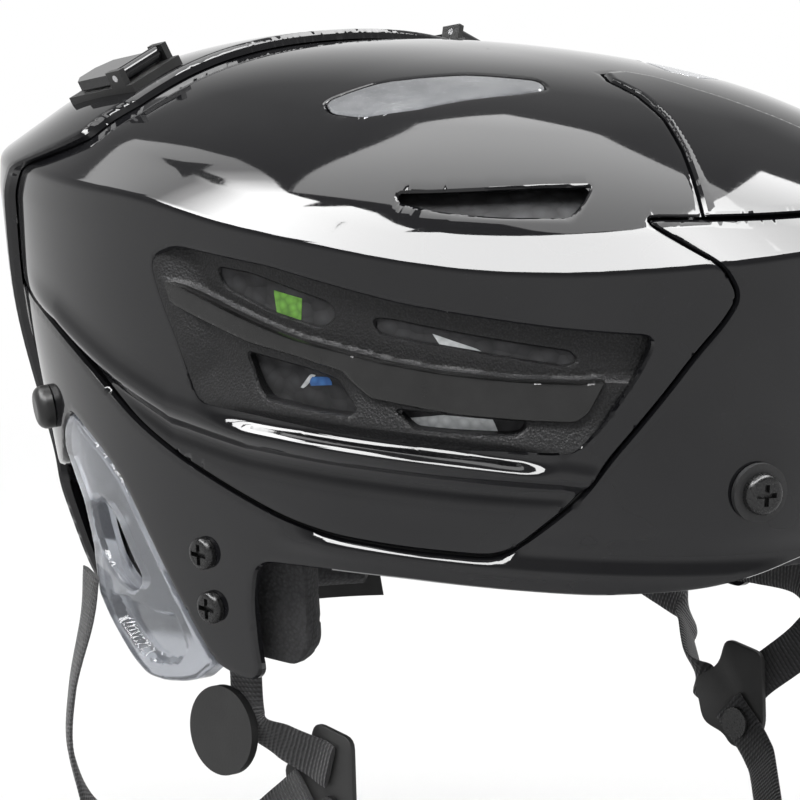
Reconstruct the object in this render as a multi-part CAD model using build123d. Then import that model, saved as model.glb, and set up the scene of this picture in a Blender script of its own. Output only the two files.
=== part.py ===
from build123d import *
from math import cos, pi, radians, sin
import os

# Ice hockey helmet. Millimetres. The front faces -Y, the wearer's right side is -X, up is +Z.
# The origin is the centre of the head opening, level with the lowest point of the brow.
# Every piece is drawn in the helmet's own level frame and tipped forward by SHELL_TILT at the end.

# Form of the outer face, measured at the shoulder, the ridge that runs round the shell
HALF_WIDTH = 109.0
FRONT_REACH = 140.0
REAR_REACH = 141.0
SHOULDER_HEIGHT = 91.0
CROWN_HEIGHT = 136.0
BAND_RISE = 10.0
BAND_INSET = 9.0
DOME_LEAD = 30.0
SHELL_TILT = 3.0
PLAN_POWER = 2.25
DOME_POWER = 2.35
SECTION_POINTS = 16
LOWER_SECTIONS = 5

# Height, half width, front reach and rear reach of the form below the shoulder
FORM_SHARES = (
    (-0.824, 0.807, 0.800, 0.624),
    (-0.549, 0.862, 0.871, 0.674),
    (-0.275, 0.908, 0.936, 0.723),
    (0.000, 0.940, 0.979, 0.780),
    (0.330, 0.972, 1.000, 0.855),
    (0.659, 0.995, 1.000, 0.936),
    (1.000, 1.000, 0.979, 1.000),
)
# Width of the dome's sections, from the band to the flat spot at the crown
DOME_SHARES = (1.0, 0.93, 0.8, 0.62, 0.4, 0.14)

# Walls and clearances
SHELL_WALL = 3.0
SHELL_GAP = 0.4
EDGE_GAP = 0.6
CONTACT_GAP = 0.1
INSERT_DEPTH = 3.3
INSERT_WALL = 2.2
INSERT_LAP = 2.5
BAR_DEPTH = 0.8
LAP_WIDTH = 7.0
PANEL_RAISE = 1.0
FLANGE_WIDTH = 14.0
LINER_GAP = 0.6
LINER_SIDE = 15.0
LINER_FRONT = 29.0
LINER_REAR = 29.0
LINER_TOP = 17.0
PAD_THICKNESS = 6.0
PAD_GAP = 0.3
SPAN = 400.0

# Size adjustment
SIZE_TRAVEL = 12.0
OVERLAP_END = 112.0
FAR_END = 168.0
LINER_SPLIT = 8.0
BLOCK_GAP = 1.5
LINER_FOOT_SHARE = 0.187
EAR_TOP_SHARE = 0.52
EAR_REAR_SHARE = 0.47
NAPE_SHARE = 0.154
LOOP_DEPTH = 5.9
VENT_FOAM = 0.8

# Comfort pads
BROW_PAD_START = 58.0
BROW_PAD_SHARES = (0.22, 0.505)
CROWN_PAD_REACH = 62.0
CROWN_PAD_HALF = 30.0
PAD_INSET = 4.0
TEMPLE_DEPTH = 8.9
TEMPLE_THICKNESS = 11.7

# Size latches
LATCH_LENGTH = 36.0
LATCH_WIDTH = 14.0
LATCH_FRONT = 12.0
LATCH_FLOOR = 1.8
LATCH_PIN = 6.0
LATCH_SLANT = 4.0
LEVER_THICKNESS = 3.0
LEVER_RADIUS = 2.1
EAR_WIDTH = 2.2
PIN_RADIUS = 1.0
RUN_GAP = 0.05

# Occipital support
CARRIER_DEPTH = 2.5
CARRIER_WALL = 2.5
CARRIER_HALF = 50.0
CARRIER_SHARES = (-0.418, 0.066)
POST_SHARE = -0.176
POST_SPACING = 40.0
POST_RADIUS = 3.0
POST_LENGTH = 18.0
BOSS_RADIUS = 6.0
BOSS_LENGTH = 3.0
OCCIPITAL_PAD = 10.0

# Harness
WEBBING = 12.0
WEBBING_THICKNESS = 1.6
YOKE_X = 82.0
YOKE_THICKNESS = 2.0
YOKE_POINTS = (
    (-40.0, -37.0), (-26.0, -35.0), (-24.0, -43.0), (-15.0, -49.0), (-19.0, -61.0), (-27.0, -63.0),
    (-30.0, -66.0), (-38.0, -66.0), (-42.0, -58.0),
)
PIVOT_Y = -34.0
PIVOT_Z = -58.0
RIVET_RADIUS = 2.5
RIVET_HEAD = 4.5
RIVET_HEAD_HEIGHT = 1.2
CUP_Y = -66.0
CUP_Z = -88.0
CUP_TURN = -45.0
CUP_RADIUS = 24.5
CUP_WALL = 2.5
CUP_WIDTH = 68.0
CUP_DEPTH = 19.0
CUP_CORNER = 12.0
CUP_PAD = 4.0
SLIDER_LENGTH = 10.0
SLIDER_WALL = 2.4
DISC_CENTRE = (-94.5, -4.0, -40.0)
DISC_RADIUS = 12.0
DISC_THICKNESS = 2.4

# Webbing routes: each point with the direction of the width there
REAR_STRAP_RIGHT = (
    ((-94.9, 50.0, -7.0), (0.36, 0.93, 0.0)),
    ((-94.6, 51.5, -20.0), (0.45, 0.89, 0.0)),
    ((-98.0, 53.0, -40.0), (0.6, 0.8, 0.0)),
    ((-100.0, 50.0, -58.0), (0.6, 0.8, 0.1)),
    ((-98.0, 38.0, -74.0), (0.4, 0.7, 0.6)),
    ((-93.0, 12.0, -81.0), (0.1, 0.3, 0.95)),
    ((-87.0, -6.0, -70.0), (0.0, 0.6, 0.8)),
    ((-84.2, -17.0, -60.0), (0.0, 0.6, 0.8)),
    ((-84.2, -25.0, -53.0), (0.0, 0.6, 0.8)),
)
FRONT_STRAP_RIGHT = (
    ((-93.35, -7.0, -12.0), (0.0, 1.0, 0.0)),
    ((-92.3, -9.0, -22.0), (0.0, 1.0, 0.0)),
    ((-92.0, -12.0, -36.0), (0.0, 1.0, -0.1)),
    ((-87.6, -20.0, -41.0), (0.0, 0.8, -0.6)),
    ((-84.3, -28.0, -44.0), (0.0, 0.6, -0.8)),
    ((-84.3, -34.0, -45.5), (0.0, 0.45, -0.9)),
)
REAR_STRAP_LEFT = (
    ((96.2, 47.0, -12.0), (0.0, 0.6, 0.8)),
    ((99.3, 30.0, -24.0), (0.0, 0.4, 0.92)),
    ((100.8, 8.0, -33.0), (0.0, 0.4, 0.92)),
    ((94.0, 0.0, -39.0), (0.0, 0.5, 0.87)),
    ((85.8, -11.0, -46.5), (0.0, 0.6, 0.8)),
    ((84.5, -17.5, -51.0), (0.0, 0.5, 0.87)),
    ((84.5, -26.0, -55.5), (0.0, 0.5, 0.87)),
)
FRONT_STRAP_LEFT = (
    ((84.2, -33.0, -49.0), (0.0, 0.9, 0.44)),
    ((84.2, -38.0, -44.0), (0.0, 0.8, 0.6)),
    ((89.0, -50.0, -32.0), (0.0, 0.5, 0.86)),
    ((93.0, -53.0, -21.0), (0.5, 0.5, 0.6)),
    ((93.6, -42.0, -15.0), (0.0, 0.2, 0.98)),
    ((93.1, -26.0, -14.5), (0.0, 0.1, 0.99)),
    ((93.35, -14.0, -15.5), (0.0, 0.0, 1.0)),
    ((93.35, -6.0, -16.0), (0.0, 0.0, 1.0)),
)
CHIN_STRAP_RIGHT = (
    ((-22.0, -84.1, -106.1), (0.0, 0.707, -0.707)),
    ((-36.0, -84.1, -106.1), (0.0, 0.707, -0.707)),
    ((-50.0, -78.0, -99.5), (0.0, 0.707, -0.707)),
    ((-74.0, -50.0, -72.5), (0.0, 0.707, -0.707)),
    ((-79.8, -41.0, -64.5), (0.0, 0.707, -0.707)),
    ((-79.8, -29.5, -53.7), (0.0, 0.707, -0.707)),
)

# Outlines seen from the side: along the helmet as a share of the reach, up as a share of the shoulder
SEAM_SHARES = (
    (-0.664, 0.231), (-0.493, 0.226), (-0.35, 0.23), (-0.243, 0.255), (-0.121, 0.307),
    (0.014, 0.369), (0.135, 0.44), (0.234, 0.516), (0.34, 0.597), (0.468, 0.669), (0.638, 0.725),
)
FRONT_EDGE_SHARES = (
    (-0.779, 0.418), (-0.814, 0.525), (-0.871, 0.698), (-0.9, 0.82), (-0.921, 0.912),
    (-0.929, 0.978), (-0.914, 1.06), (-0.843, 1.18),
)
BROW_SHARES = (
    (-1.2, 0.27), (-1.01, 0.264), (-0.986, 0.233), (-0.914, 0.158), (-0.8, 0.136),
    (-0.657, 0.136), (-0.486, 0.135), (-0.3, 0.124), (-0.19, 0.112), (-0.16, 0.085),
)
LEG_SHARES = (
    (-0.146, -0.011), (-0.15, -0.154), (-0.157, -0.225), (-0.136, -0.255), (-0.093, -0.255),
    (-0.036, -0.233), (0.05, -0.066), (0.206, 0.249), (0.27, 0.319), (0.348, 0.374),
    (0.404, 0.407), (0.447, 0.363), (0.482, 0.22), (0.567, 0.176), (0.695, 0.187),
)
REAR_EDGE_SHARES = (
    (0.411, 1.3), (0.454, 1.21), (0.61, 1.1), (0.674, 1.0), (0.688, 0.681), (0.688, 0.31),
    (0.652, 0.165), (0.54, 0.08), (0.54, -0.22), (0.589, -0.44), (0.652, -0.527),
)
LOOP_SHARES = (
    (0.411, 0.412), (0.27, 0.313), (0.206, 0.243), (0.05, -0.072), (-0.036, -0.233),
    (0.021, -0.297), (0.064, -0.318), (0.128, -0.336), (0.177, -0.338), (0.227, -0.302),
    (0.312, -0.204), (0.355, -0.143), (0.358, 0.022), (0.383, 0.134), (0.462, 0.275),
    (0.45, 0.363),
)
LOOP_FLANGE_SHARES = (
    (-0.036, -0.2), (-0.09, -0.19), (-0.09, 0.18), (0.05, 0.2), (0.16, 0.3), (0.3, 0.42),
    (0.42, 0.5), (0.57, 0.46), (0.58, 0.3), (0.48, 0.27), (0.455, 0.31), (0.41, 0.36), (0.3, 0.29),
    (0.24, 0.22), (0.09, -0.07), (0.0, -0.2),
)
LOOP_HOLE_SHARES = (
    (0.34, 0.143), (0.291, 0.176), (0.241, 0.121), (0.199, 0.027), (0.163, -0.038),
    (0.191, -0.08), (0.248, -0.058), (0.298, -0.005), (0.326, 0.06),
)
LOOP_PANEL_SHARES = (
    (0.300, -0.120), (0.234, -0.105), (0.135, -0.122), (0.071, -0.105), (0.036, -0.205),
    (0.064, -0.265), (0.135, -0.285), (0.19, -0.27), (0.27, -0.2),
)
VENT_OPENING_SHARES = (
    (0.043, 1.0), (-0.243, 0.967), (-0.514, 0.912), (-0.771, 0.879), (-0.88, 0.865),
    (-0.87, 0.66), (-0.8, 0.525), (-0.6, 0.52), (-0.336, 0.525), (-0.03, 0.545), (0.014, 0.78),
    (0.078, 0.89),
)
BAR_SHARES = (
    (0.07, 0.885), (-0.014, 0.868), (-0.114, 0.832), (-0.207, 0.798), (-0.3, 0.774),
    (-0.479, 0.743), (-0.579, 0.732), (-0.707, 0.727), (-0.8, 0.73), (-0.836, 0.745),
    (-0.793, 0.627), (-0.736, 0.624), (-0.607, 0.624), (-0.457, 0.641), (-0.421, 0.682),
    (-0.4, 0.707), (-0.3, 0.729), (-0.186, 0.748), (-0.05, 0.791), (0.02, 0.8),
)
WINDOW_SHARES = (
    ((-0.1, 0.94), (-0.379, 0.888), (-0.386, 0.854), (-0.364, 0.816), (-0.243, 0.843),
     (-0.121, 0.888)),
    ((-0.471, 0.869), (-0.65, 0.847), (-0.8, 0.822), (-0.8, 0.778), (-0.65, 0.803),
     (-0.486, 0.822)),
    ((-0.193, 0.72), (-0.336, 0.699), (-0.385, 0.681), (-0.42, 0.607), (-0.41, 0.591),
     (-0.336, 0.591), (-0.243, 0.601), (-0.221, 0.637)),
    ((-0.543, 0.605), (-0.636, 0.613), (-0.75, 0.613), (-0.735, 0.57), (-0.707, 0.56),
     (-0.607, 0.56), (-0.557, 0.566)),
)
SLOT_SHARES = (
    (-0.421, 1.195), (-0.586, 1.229), (-0.693, 1.254), (-0.707, 1.23), (-0.714, 1.178),
    (-0.671, 1.169), (-0.564, 1.165), (-0.493, 1.171), (-0.429, 1.178),
)
# Outlines seen from above: across as a share of the half width, along as a share of the reach
PANEL_SHARES = (
    (0.42, -1.1), (0.41, -0.93), (0.385, -0.843), (0.248, -0.693), (0.165, -0.586),
    (0.101, -0.471), (0.073, -0.38), (0.03, -0.33),
)
CROWN_VENT_SHARES = (
    (0.62, -0.045), (0.655, -0.09), (0.645, -0.165), (0.56, -0.243), (0.35, -0.343),
    (0.27, -0.36), (0.235, -0.31), (0.32, -0.19), (0.48, -0.08),
)
REAR_VENT_SHARES = (
    ((0.13, 0.98), (0.46, 1.0), (0.52, 0.9), (0.46, 0.84), (0.13, 0.82)),
    ((0.15, 0.62), (0.42, 0.66), (0.48, 0.58), (0.42, 0.52), (0.15, 0.46)),
)

TEMPLE_SHARES = ((-0.24, 0.13), (-0.014, 0.13), (-0.014, -0.21), (-0.2, -0.21), (-0.24, -0.15))
VENT_FOAM_SHARES = (
    ("vent_foam_upper", ((-0.2, 0.96), (-0.34, 0.93), (-0.34, 0.79), (-0.2, 0.8))),
    ("vent_foam_front", ((-0.42, 0.9), (-0.86, 0.86), (-0.86, 0.74), (-0.42, 0.76))),
    ("vent_foam_lower", ((-0.16, 0.75), (-0.78, 0.66), (-0.78, 0.53), (-0.16, 0.55))),
)
SLOT_INNER = 45.0
VENT_GAP = 0.3

# Fasteners
SCREW_HEAD = 10.6
SCREW_HEAD_HEIGHT = 3.0
SCREW_SHANK = 4.8
WASHER = 15.2
WASHER_THICKNESS = 1.6
WASHER_HOLE = 5.2
T_NUT = 14.0
T_NUT_THICKNESS = 1.5
T_NUT_DEPTH = 3.4
LEG_SCREW_HEAD = 8.6
LEG_SCREW_HEIGHT = 2.4
LEG_SCREW_SHANK = 4.0
LEG_NUT = 9.0
LEG_NUT_THICKNESS = 2.0
BUTTON = 12.0
BUTTON_HEIGHT = 4.5
BUTTON_SHANK = 5.0
HOLE_GAP = 0.2
RECESS_WIDTH = 1.3
RECESS_DEPTH = 1.4
RECESS_LENGTH = 5.6

# Places on the outer face: the angle from the wearer's right towards the front, and the height share
FOREHEAD_SCREW_PLACE = (74.9, 0.433)
LEG_SCREW_PLACES = ((2.4, 0.1), (3.4, -0.058))
BUTTON_PLACE = (-40.0, 0.38)
LATCH_PLACE = (-50.0, 1.315)


def spread(height):
    """Half width, front reach and rear reach of the form at a height up to the shoulder."""
    share = min(max(height / SHOULDER_HEIGHT, FORM_SHARES[0][0]), 1.0)
    last = len(FORM_SHARES) - 2
    low = min(sum(1 for row in FORM_SHARES if row[0] < share) - 1, last)
    low = max(low, 0)
    here, above = FORM_SHARES[low], FORM_SHARES[low + 1]
    before = FORM_SHARES[max(low - 1, 0)]
    after = FORM_SHARES[min(low + 2, len(FORM_SHARES) - 1)]
    step = above[0] - here[0]
    t = (share - here[0]) / step
    sizes = []
    for column in range(1, 4):
        slope_here = (above[column] - before[column]) / (above[0] - before[0]) * step
        slope_above = (after[column] - here[column]) / (after[0] - here[0]) * step
        value = (
            (2 * t**3 - 3 * t**2 + 1) * here[column]
            + (t**3 - 2 * t**2 + t) * slope_here
            + (3 * t**2 - 2 * t**3) * above[column]
            + (t**3 - t**2) * slope_above
        )
        sizes.append(value)
    return sizes[0] * HALF_WIDTH, sizes[1] * FRONT_REACH, sizes[2] * REAR_REACH


def dome_share(height, crown):
    """Width of the dome at a height above the band, as a share of its width at the band."""
    foot = SHOULDER_HEIGHT + BAND_RISE - DOME_LEAD
    start = (DOME_LEAD / (crown - foot)) ** DOME_POWER
    rise = min((height - foot) / (crown - foot), 1.0) ** DOME_POWER
    return ((1 - rise) / (1 - start)) ** (1 / DOME_POWER)


def dome_height(share, crown):
    """Height at which the dome has narrowed to a share of its width at the band."""
    foot = SHOULDER_HEIGHT + BAND_RISE - DOME_LEAD
    start = (DOME_LEAD / (crown - foot)) ** DOME_POWER
    rise = (1 - share**DOME_POWER * (1 - start)) ** (1 / DOME_POWER)
    return foot + rise * (crown - foot)


def radius(half_width, reach, c, s):
    return (abs(c / half_width) ** PLAN_POWER + abs(s / reach) ** PLAN_POWER) ** (-1 / PLAN_POWER)


def section(height, half_width, front, rear):
    """One level section of the form, a squared oval with its own reach to the front and the rear."""
    points = []
    for i in range(SECTION_POINTS):
        c = cos(2 * pi * i / SECTION_POINTS)
        s = sin(2 * pi * i / SECTION_POINTS)
        r = radius(half_width, rear if s > 0 else front, c, s)
        points.append((r * c, r * s, height))
    return Wire([Edge.make_spline([Vector(*p) for p in points], periodic=True)])


def form(side, front=None, rear=None, top=None):
    """The helmet's form as one solid, set in from the outer face by the given depths."""
    front = side if front is None else front
    rear = side if rear is None else rear
    top = side if top is None else top
    lowest = FORM_SHARES[0][0] * SHOULDER_HEIGHT
    lower = []
    for i in range(LOWER_SECTIONS):
        height = lowest + (SHOULDER_HEIGHT - lowest) * i / (LOWER_SECTIONS - 1)
        a, f, r = spread(height)
        lower.append(section(height, a - side, f - front, r - rear))
    a, f, r = spread(SHOULDER_HEIGHT)
    a, f, r = a - side - BAND_INSET, f - front - BAND_INSET, r - rear - BAND_INSET
    band = [lower[-1], section(SHOULDER_HEIGHT + BAND_RISE, a, f, r)]
    crown = CROWN_HEIGHT - top
    dome = [section(dome_height(k, crown), a * k, f * k, r * k) for k in DOME_SHARES]
    solid = Solid.make_loft(lower) + Solid.make_loft(band, ruled=True) + Solid.make_loft(dome)
    return solid


def surface_point(angle, height, depth=0.0):
    """A point on the outer face, by its angle from the wearer's right towards the front."""
    shoulder = min(height, SHOULDER_HEIGHT)
    a, f, r = spread(shoulder)
    inset = depth + BAND_INSET * min(max((height - SHOULDER_HEIGHT) / BAND_RISE, 0.0), 1.0)
    k = dome_share(height, CROWN_HEIGHT) if height > SHOULDER_HEIGHT + BAND_RISE else 1.0
    c, s = cos(radians(angle)), sin(radians(angle))
    reach = f if s > 0 else r
    distance = radius((a - inset) * k, (reach - inset) * k, c, s)
    return Vector(-distance * c, -distance * s, height)


def surface_plane(angle, height):
    """A plane on the outer face: x runs forward along the face, z points out of it."""
    step = 0.5
    rise = SHOULDER_HEIGHT / 200
    origin = surface_point(angle, height)
    along = surface_point(angle + step, height) - surface_point(angle - step, height)
    up = surface_point(angle, height + rise) - surface_point(angle, height - rise)
    normal = along.cross(up)
    if normal.dot(Vector(origin.X, origin.Y, 0)) < 0:
        normal = normal * -1
    return Plane(origin=origin, x_dir=along, z_dir=normal)


def place(share):
    """A side outline's point in millimetres."""
    reach = FRONT_REACH if share[0] < 0 else REAR_REACH
    return (share[0] * reach, share[1] * SHOULDER_HEIGHT)


def side_face(points, grow=0.0):
    face = make_face(Polyline(*points, close=True))
    if grow:
        face = offset(face, grow, kind=Kind.INTERSECTION)
    return Plane.YZ * face


def side_prism(shares, grow=0.0, inner=None):
    """A prism along X from a side outline: right through, or on each side outside a half width."""
    points = [place(share) for share in shares]
    return point_prism(points, grow, inner)


def point_prism(points, grow=0.0, inner=None):
    face = side_face(points, grow)
    if inner is None:
        return extrude(face, amount=SPAN / 2, both=True)
    right = extrude(Pos(-inner, 0, 0) * face, amount=-SPAN / 2)
    left = extrude(Pos(inner, 0, 0) * face, amount=SPAN / 2)
    return right + left


def top_prism(shares, low, grow=0.0):
    """A prism upward from a height, from an outline seen from above."""
    points = []
    for across, along in shares:
        points.append((across * HALF_WIDTH, along * (FRONT_REACH if along < 0 else REAR_REACH)))
    face = make_face(Polyline(*points, close=True))
    if grow:
        face = offset(face, grow, kind=Kind.INTERSECTION)
    return Pos(0, 0, low) * extrude(face, amount=SPAN / 2)


def slab(low_y=None, high_y=None, low_z=None, high_z=None, half_x=None):
    """A block that keeps what lies between the given limits and reaches past the helmet elsewhere."""
    low_y = -SPAN / 2 if low_y is None else low_y
    high_y = SPAN / 2 if high_y is None else high_y
    low_z = -SPAN / 2 if low_z is None else low_z
    high_z = SPAN / 2 if high_z is None else high_z
    half_x = SPAN / 2 if half_x is None else half_x
    box = Box(2 * half_x, high_y - low_y, high_z - low_z)
    return Pos(0, (low_y + high_y) / 2, (low_z + high_z) / 2) * box


def mirrored(shape):
    return mirror(shape, about=Plane.YZ)


def both_sides(shape):
    return shape + mirrored(shape)


def right_half(shape):
    """The solids of a shape that lie on the wearer's right."""
    return Compound([solid for solid in shape.solids() if solid.center().X < 0]).solids()[0]


def screw_plane(share):
    """The plane of a fastener from its angle and its height share."""
    return surface_plane(share[0], share[1] * SHOULDER_HEIGHT)


def in_plane(plane, direction):
    """A direction laid into a plane."""
    return (direction - plane.z_dir * direction.dot(plane.z_dir)).normalized()


def bore(diameter):
    return Cylinder(diameter / 2 + HOLE_GAP, 2 * SCREW_HEAD)


def ring(diameter, hole, thickness, depth):
    """A flat ring whose outer face lies at a depth below the plane it is placed on."""
    blank = Cylinder(diameter / 2, thickness) - Cylinder(hole / 2, thickness)
    return Pos(0, 0, -depth - thickness / 2) * blank


def screw(diameter, height, shank, rise, depth, recess=True):
    """A low domed head whose underside lies a rise above the plane, with a shank to a depth below it."""
    head = Cylinder(diameter / 2, height, align=(Align.CENTER, Align.CENTER, Align.MIN))
    head = fillet(head.edges().group_by(Axis.Z)[-1], height * 0.6)
    if recess:
        cross = Box(RECESS_LENGTH, RECESS_WIDTH, 2 * RECESS_DEPTH)
        cross = cross + Box(RECESS_WIDTH, RECESS_LENGTH, 2 * RECESS_DEPTH)
        head = head - Pos(0, 0, height) * cross
    stem = Cylinder(shank / 2, depth + rise, align=(Align.CENTER, Align.CENTER, Align.MAX))
    return Pos(0, 0, rise) * (head + stem)


def between(low_x, high_x, low_y, high_y, low_z, high_z):
    centre = Pos((low_x + high_x) / 2, (low_y + high_y) / 2, (low_z + high_z) / 2)
    return centre * Box(high_x - low_x, high_y - low_y, high_z - low_z)


def ribbon(route):
    """Flat webbing through the route's points, each with the direction of its width."""
    points = [Vector(*point) for point, across in route]
    wires = []
    for i, (point, across) in enumerate(route):
        before = points[max(i - 1, 0)]
        after = points[min(i + 1, len(points) - 1)]
        way = (after - before).normalized()
        across = Vector(*across)
        across = (across - way * across.dot(way)).normalized()
        side = across * (WEBBING / 2)
        up = way.cross(across) * (WEBBING_THICKNESS / 2)
        here = points[i]
        corners = [here + side + up, here - side + up, here - side - up, here + side - up]
        wires.append(Wire.make_polygon(corners, close=True))
    return Solid.make_loft(wires, ruled=True)


def cup_blank():
    """What the chin cup keeps of its tube: the side away from the chin, with rounded corners."""
    outline = RectangleRounded(CUP_WIDTH, 2 * CUP_DEPTH, CUP_CORNER)
    return extrude(outline, amount=-2 * CUP_RADIUS)


PIECES = {}
os.makedirs("parts", exist_ok=True)


def keep(name, shape):
    """Tip a finished piece into the helmet's resting attitude and write it."""
    tipped = Rotation(SHELL_TILT, 0, 0) * shape
    PIECES[name] = tipped
    export_step(tipped, f"parts/{name}.step")


def keep_pair(name, right_shape):
    keep(f"{name}_right", right_shape)
    keep(f"{name}_left", mirrored(right_shape))


# Solids of the form at each depth that a wall or pad starts or ends at
flange_depth = SHELL_WALL + SHELL_GAP
flange_inner = flange_depth + SHELL_WALL
liner_depth = flange_inner + LINER_GAP
form_face = form(0)
form_wall = form(SHELL_WALL)
form_flange = form(flange_depth)
form_flange_inner = form(flange_inner)
form_liner = form(liner_depth)
form_cavity = form(
    liner_depth + LINER_SIDE, liner_depth + LINER_FRONT, liner_depth + LINER_REAR, liner_depth + LINER_TOP
)
pad_depth = liner_depth + PAD_GAP
form_pad_outer = form(
    pad_depth + LINER_SIDE, pad_depth + LINER_FRONT, pad_depth + LINER_REAR, pad_depth + LINER_TOP
)
pad_inner = pad_depth + PAD_THICKNESS
form_pad_inner = form(
    pad_inner + LINER_SIDE, pad_inner + LINER_FRONT, pad_inner + LINER_REAR, pad_inner + LINER_TOP
)
form_rear_inner = form(-SHELL_GAP)
form_rear_outer = form(-SHELL_GAP - SHELL_WALL)

HIGH = CROWN_HEIGHT + SHELL_WALL * 4
PANEL_FOOT = 1.18 * SHOULDER_HEIGHT


def outer_outline(rear_end):
    """Side outline of the outer shell, open upward and to the front above the band."""
    points = [place(share) for share in SEAM_SHARES]
    points.append((rear_end, SEAM_SHARES[-1][1] * SHOULDER_HEIGHT))
    points.append((rear_end, HIGH))
    points.append((-1.3 * FRONT_REACH, HIGH))
    points.append((-1.3 * FRONT_REACH, PANEL_FOOT))
    points.extend(place(share) for share in reversed(FRONT_EDGE_SHARES))
    return points


def place_on(plane, shape, depth=0.0):
    """Set a shape drawn about its own Z axis on a plane of the outer face, at a depth inside it."""
    return plane * (Pos(0, 0, -depth) * shape)


# Outer shell: the sides and crown, with the vent openings
panel_outline = PANEL_SHARES + tuple((-x, y) for x, y in reversed(PANEL_SHARES))
form_raised = form(-PANEL_RAISE)
form_insert = form(INSERT_DEPTH)
form_insert_inner = form(INSERT_DEPTH + INSERT_WALL)
form_loop = form(LOOP_DEPTH)
shell_skin = form_face - form_wall
vent_cut = top_prism(CROWN_VENT_SHARES, SHOULDER_HEIGHT, VENT_GAP)
outer_zone = point_prism(outer_outline(OVERLAP_END))
outer_zone = outer_zone - top_prism(panel_outline, PANEL_FOOT - EDGE_GAP, EDGE_GAP)
outer_zone = outer_zone - side_prism(VENT_OPENING_SHARES)
outer_zone = outer_zone - side_prism(SLOT_SHARES, inner=SLOT_INNER)
outer_zone = outer_zone - vent_cut - mirrored(vent_cut)
keep("outer_shell", shell_skin & outer_zone)

# Vent insert: the textured floor behind the side opening, with its four windows, and the bar across it
insert_zone = side_prism(VENT_OPENING_SHARES, INSERT_LAP)
for shares in WINDOW_SHARES:
    insert_zone = insert_zone - side_prism(shares)
keep_pair("vent_insert", right_half((form_insert - form_insert_inner) & insert_zone))
vent_bar = right_half((form(BAR_DEPTH) - form(INSERT_DEPTH - CONTACT_GAP)) & side_prism(BAR_SHARES))
keep_pair("vent_bar", vent_bar)

# Vent foams: coloured pieces of the liner that show through the windows
foam_skin = form_loop - form(LOOP_DEPTH + VENT_FOAM)
for name, shares in VENT_FOAM_SHARES:
    keep_pair(name, right_half(foam_skin & side_prism(shares)))

# Front shell: forehead, brow and legs, with the holes for what is screwed to it
front_outline = [place(share) for share in BROW_SHARES + LEG_SHARES]
front_outline += [(OVERLAP_END, LEG_SHARES[-1][1] * SHOULDER_HEIGHT), (OVERLAP_END, HIGH)]
front_outline += [(-1.3 * FRONT_REACH, HIGH)]
front_zone = point_prism(front_outline)
forehead_plane = screw_plane(FOREHEAD_SCREW_PLACE)
leg_planes = [screw_plane(share) for share in LEG_SCREW_PLACES]
button_plane = screw_plane(BUTTON_PLACE)
holes = [
    place_on(forehead_plane, bore(SCREW_SHANK)),
    place_on(button_plane, bore(BUTTON_SHANK)),
]
holes += [place_on(plane, bore(LEG_SCREW_SHANK)) for plane in leg_planes]
front_shell = shell_skin & (front_zone - point_prism(outer_outline(FAR_END), EDGE_GAP))
front_shell = front_shell - holes - [mirrored(hole) for hole in holes]
keep("front_shell", front_shell)

# Lap band: the strip bonded inside the front shell that the outer shell's edge sits on
lap_zone = point_prism(outer_outline(FAR_END), LAP_WIDTH) & front_zone
lap_zone = lap_zone - point_prism(outer_outline(FAR_END), -FLANGE_WIDTH)
lap_zone = lap_zone - side_prism(VENT_OPENING_SHARES, INSERT_LAP + EDGE_GAP)
keep("lap_band", (form_flange - form_flange_inner) & lap_zone)

# Crown panel: the raised cover on the centre line, ahead of the outer shell
keep("crown_panel", (form_raised - form_wall) & top_prism(panel_outline, PANEL_FOOT))

# Crown vents: inlaid plates
crown_vent = right_half(shell_skin & mirrored(top_prism(CROWN_VENT_SHARES, SHOULDER_HEIGHT)))
keep_pair("crown_vent", crown_vent)

# Rear shell: slides over the tail of the outer shell
rear_outline = [place(share) for share in REAR_EDGE_SHARES]
rear_outline += [(SPAN / 2, REAR_EDGE_SHARES[-1][1] * SHOULDER_HEIGHT), (SPAN / 2, HIGH)]
rear_outline += [(REAR_EDGE_SHARES[0][0] * REAR_REACH, HIGH)]
rear_zone = point_prism(rear_outline)
for shares in REAR_VENT_SHARES:
    corners = [(x * HALF_WIDTH, z * SHOULDER_HEIGHT) for x, z in shares]
    vent = extrude(Plane.XZ * make_face(Polyline(*corners, close=True)), amount=-SPAN)
    rear_zone = rear_zone - vent - mirrored(vent)
keep("rear_shell", (form_rear_outer - form_rear_inner) & rear_zone)

# Liners: firm foam inside the shells, split where the two halves slide apart
liner_zone = slab(high_y=LINER_SPLIT, low_z=LINER_FOOT_SHARE * SHOULDER_HEIGHT)
keep("front_liner", (form_liner - form_cavity) & liner_zone)
rear_liner = (Pos(0, -SIZE_TRAVEL, 0) * form_liner) - form_cavity
liner_start = LINER_SPLIT + SHELL_GAP
block_start = OVERLAP_END + BLOCK_GAP
side_outline = [(liner_start, EAR_TOP_SHARE * SHOULDER_HEIGHT)]
side_outline += [(EAR_REAR_SHARE * REAR_REACH, EAR_TOP_SHARE * SHOULDER_HEIGHT)]
side_outline += [(EAR_REAR_SHARE * REAR_REACH, NAPE_SHARE * SHOULDER_HEIGHT)]
side_outline += [(block_start - PAD_GAP, NAPE_SHARE * SHOULDER_HEIGHT), (block_start - PAD_GAP, HIGH)]
side_outline += [(liner_start, HIGH)]
rear_liner = rear_liner & point_prism(side_outline)
keep("rear_liner", rear_liner)
keep("rear_block", form_face & slab(low_y=block_start, low_z=NAPE_SHARE * SHOULDER_HEIGHT))

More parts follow.
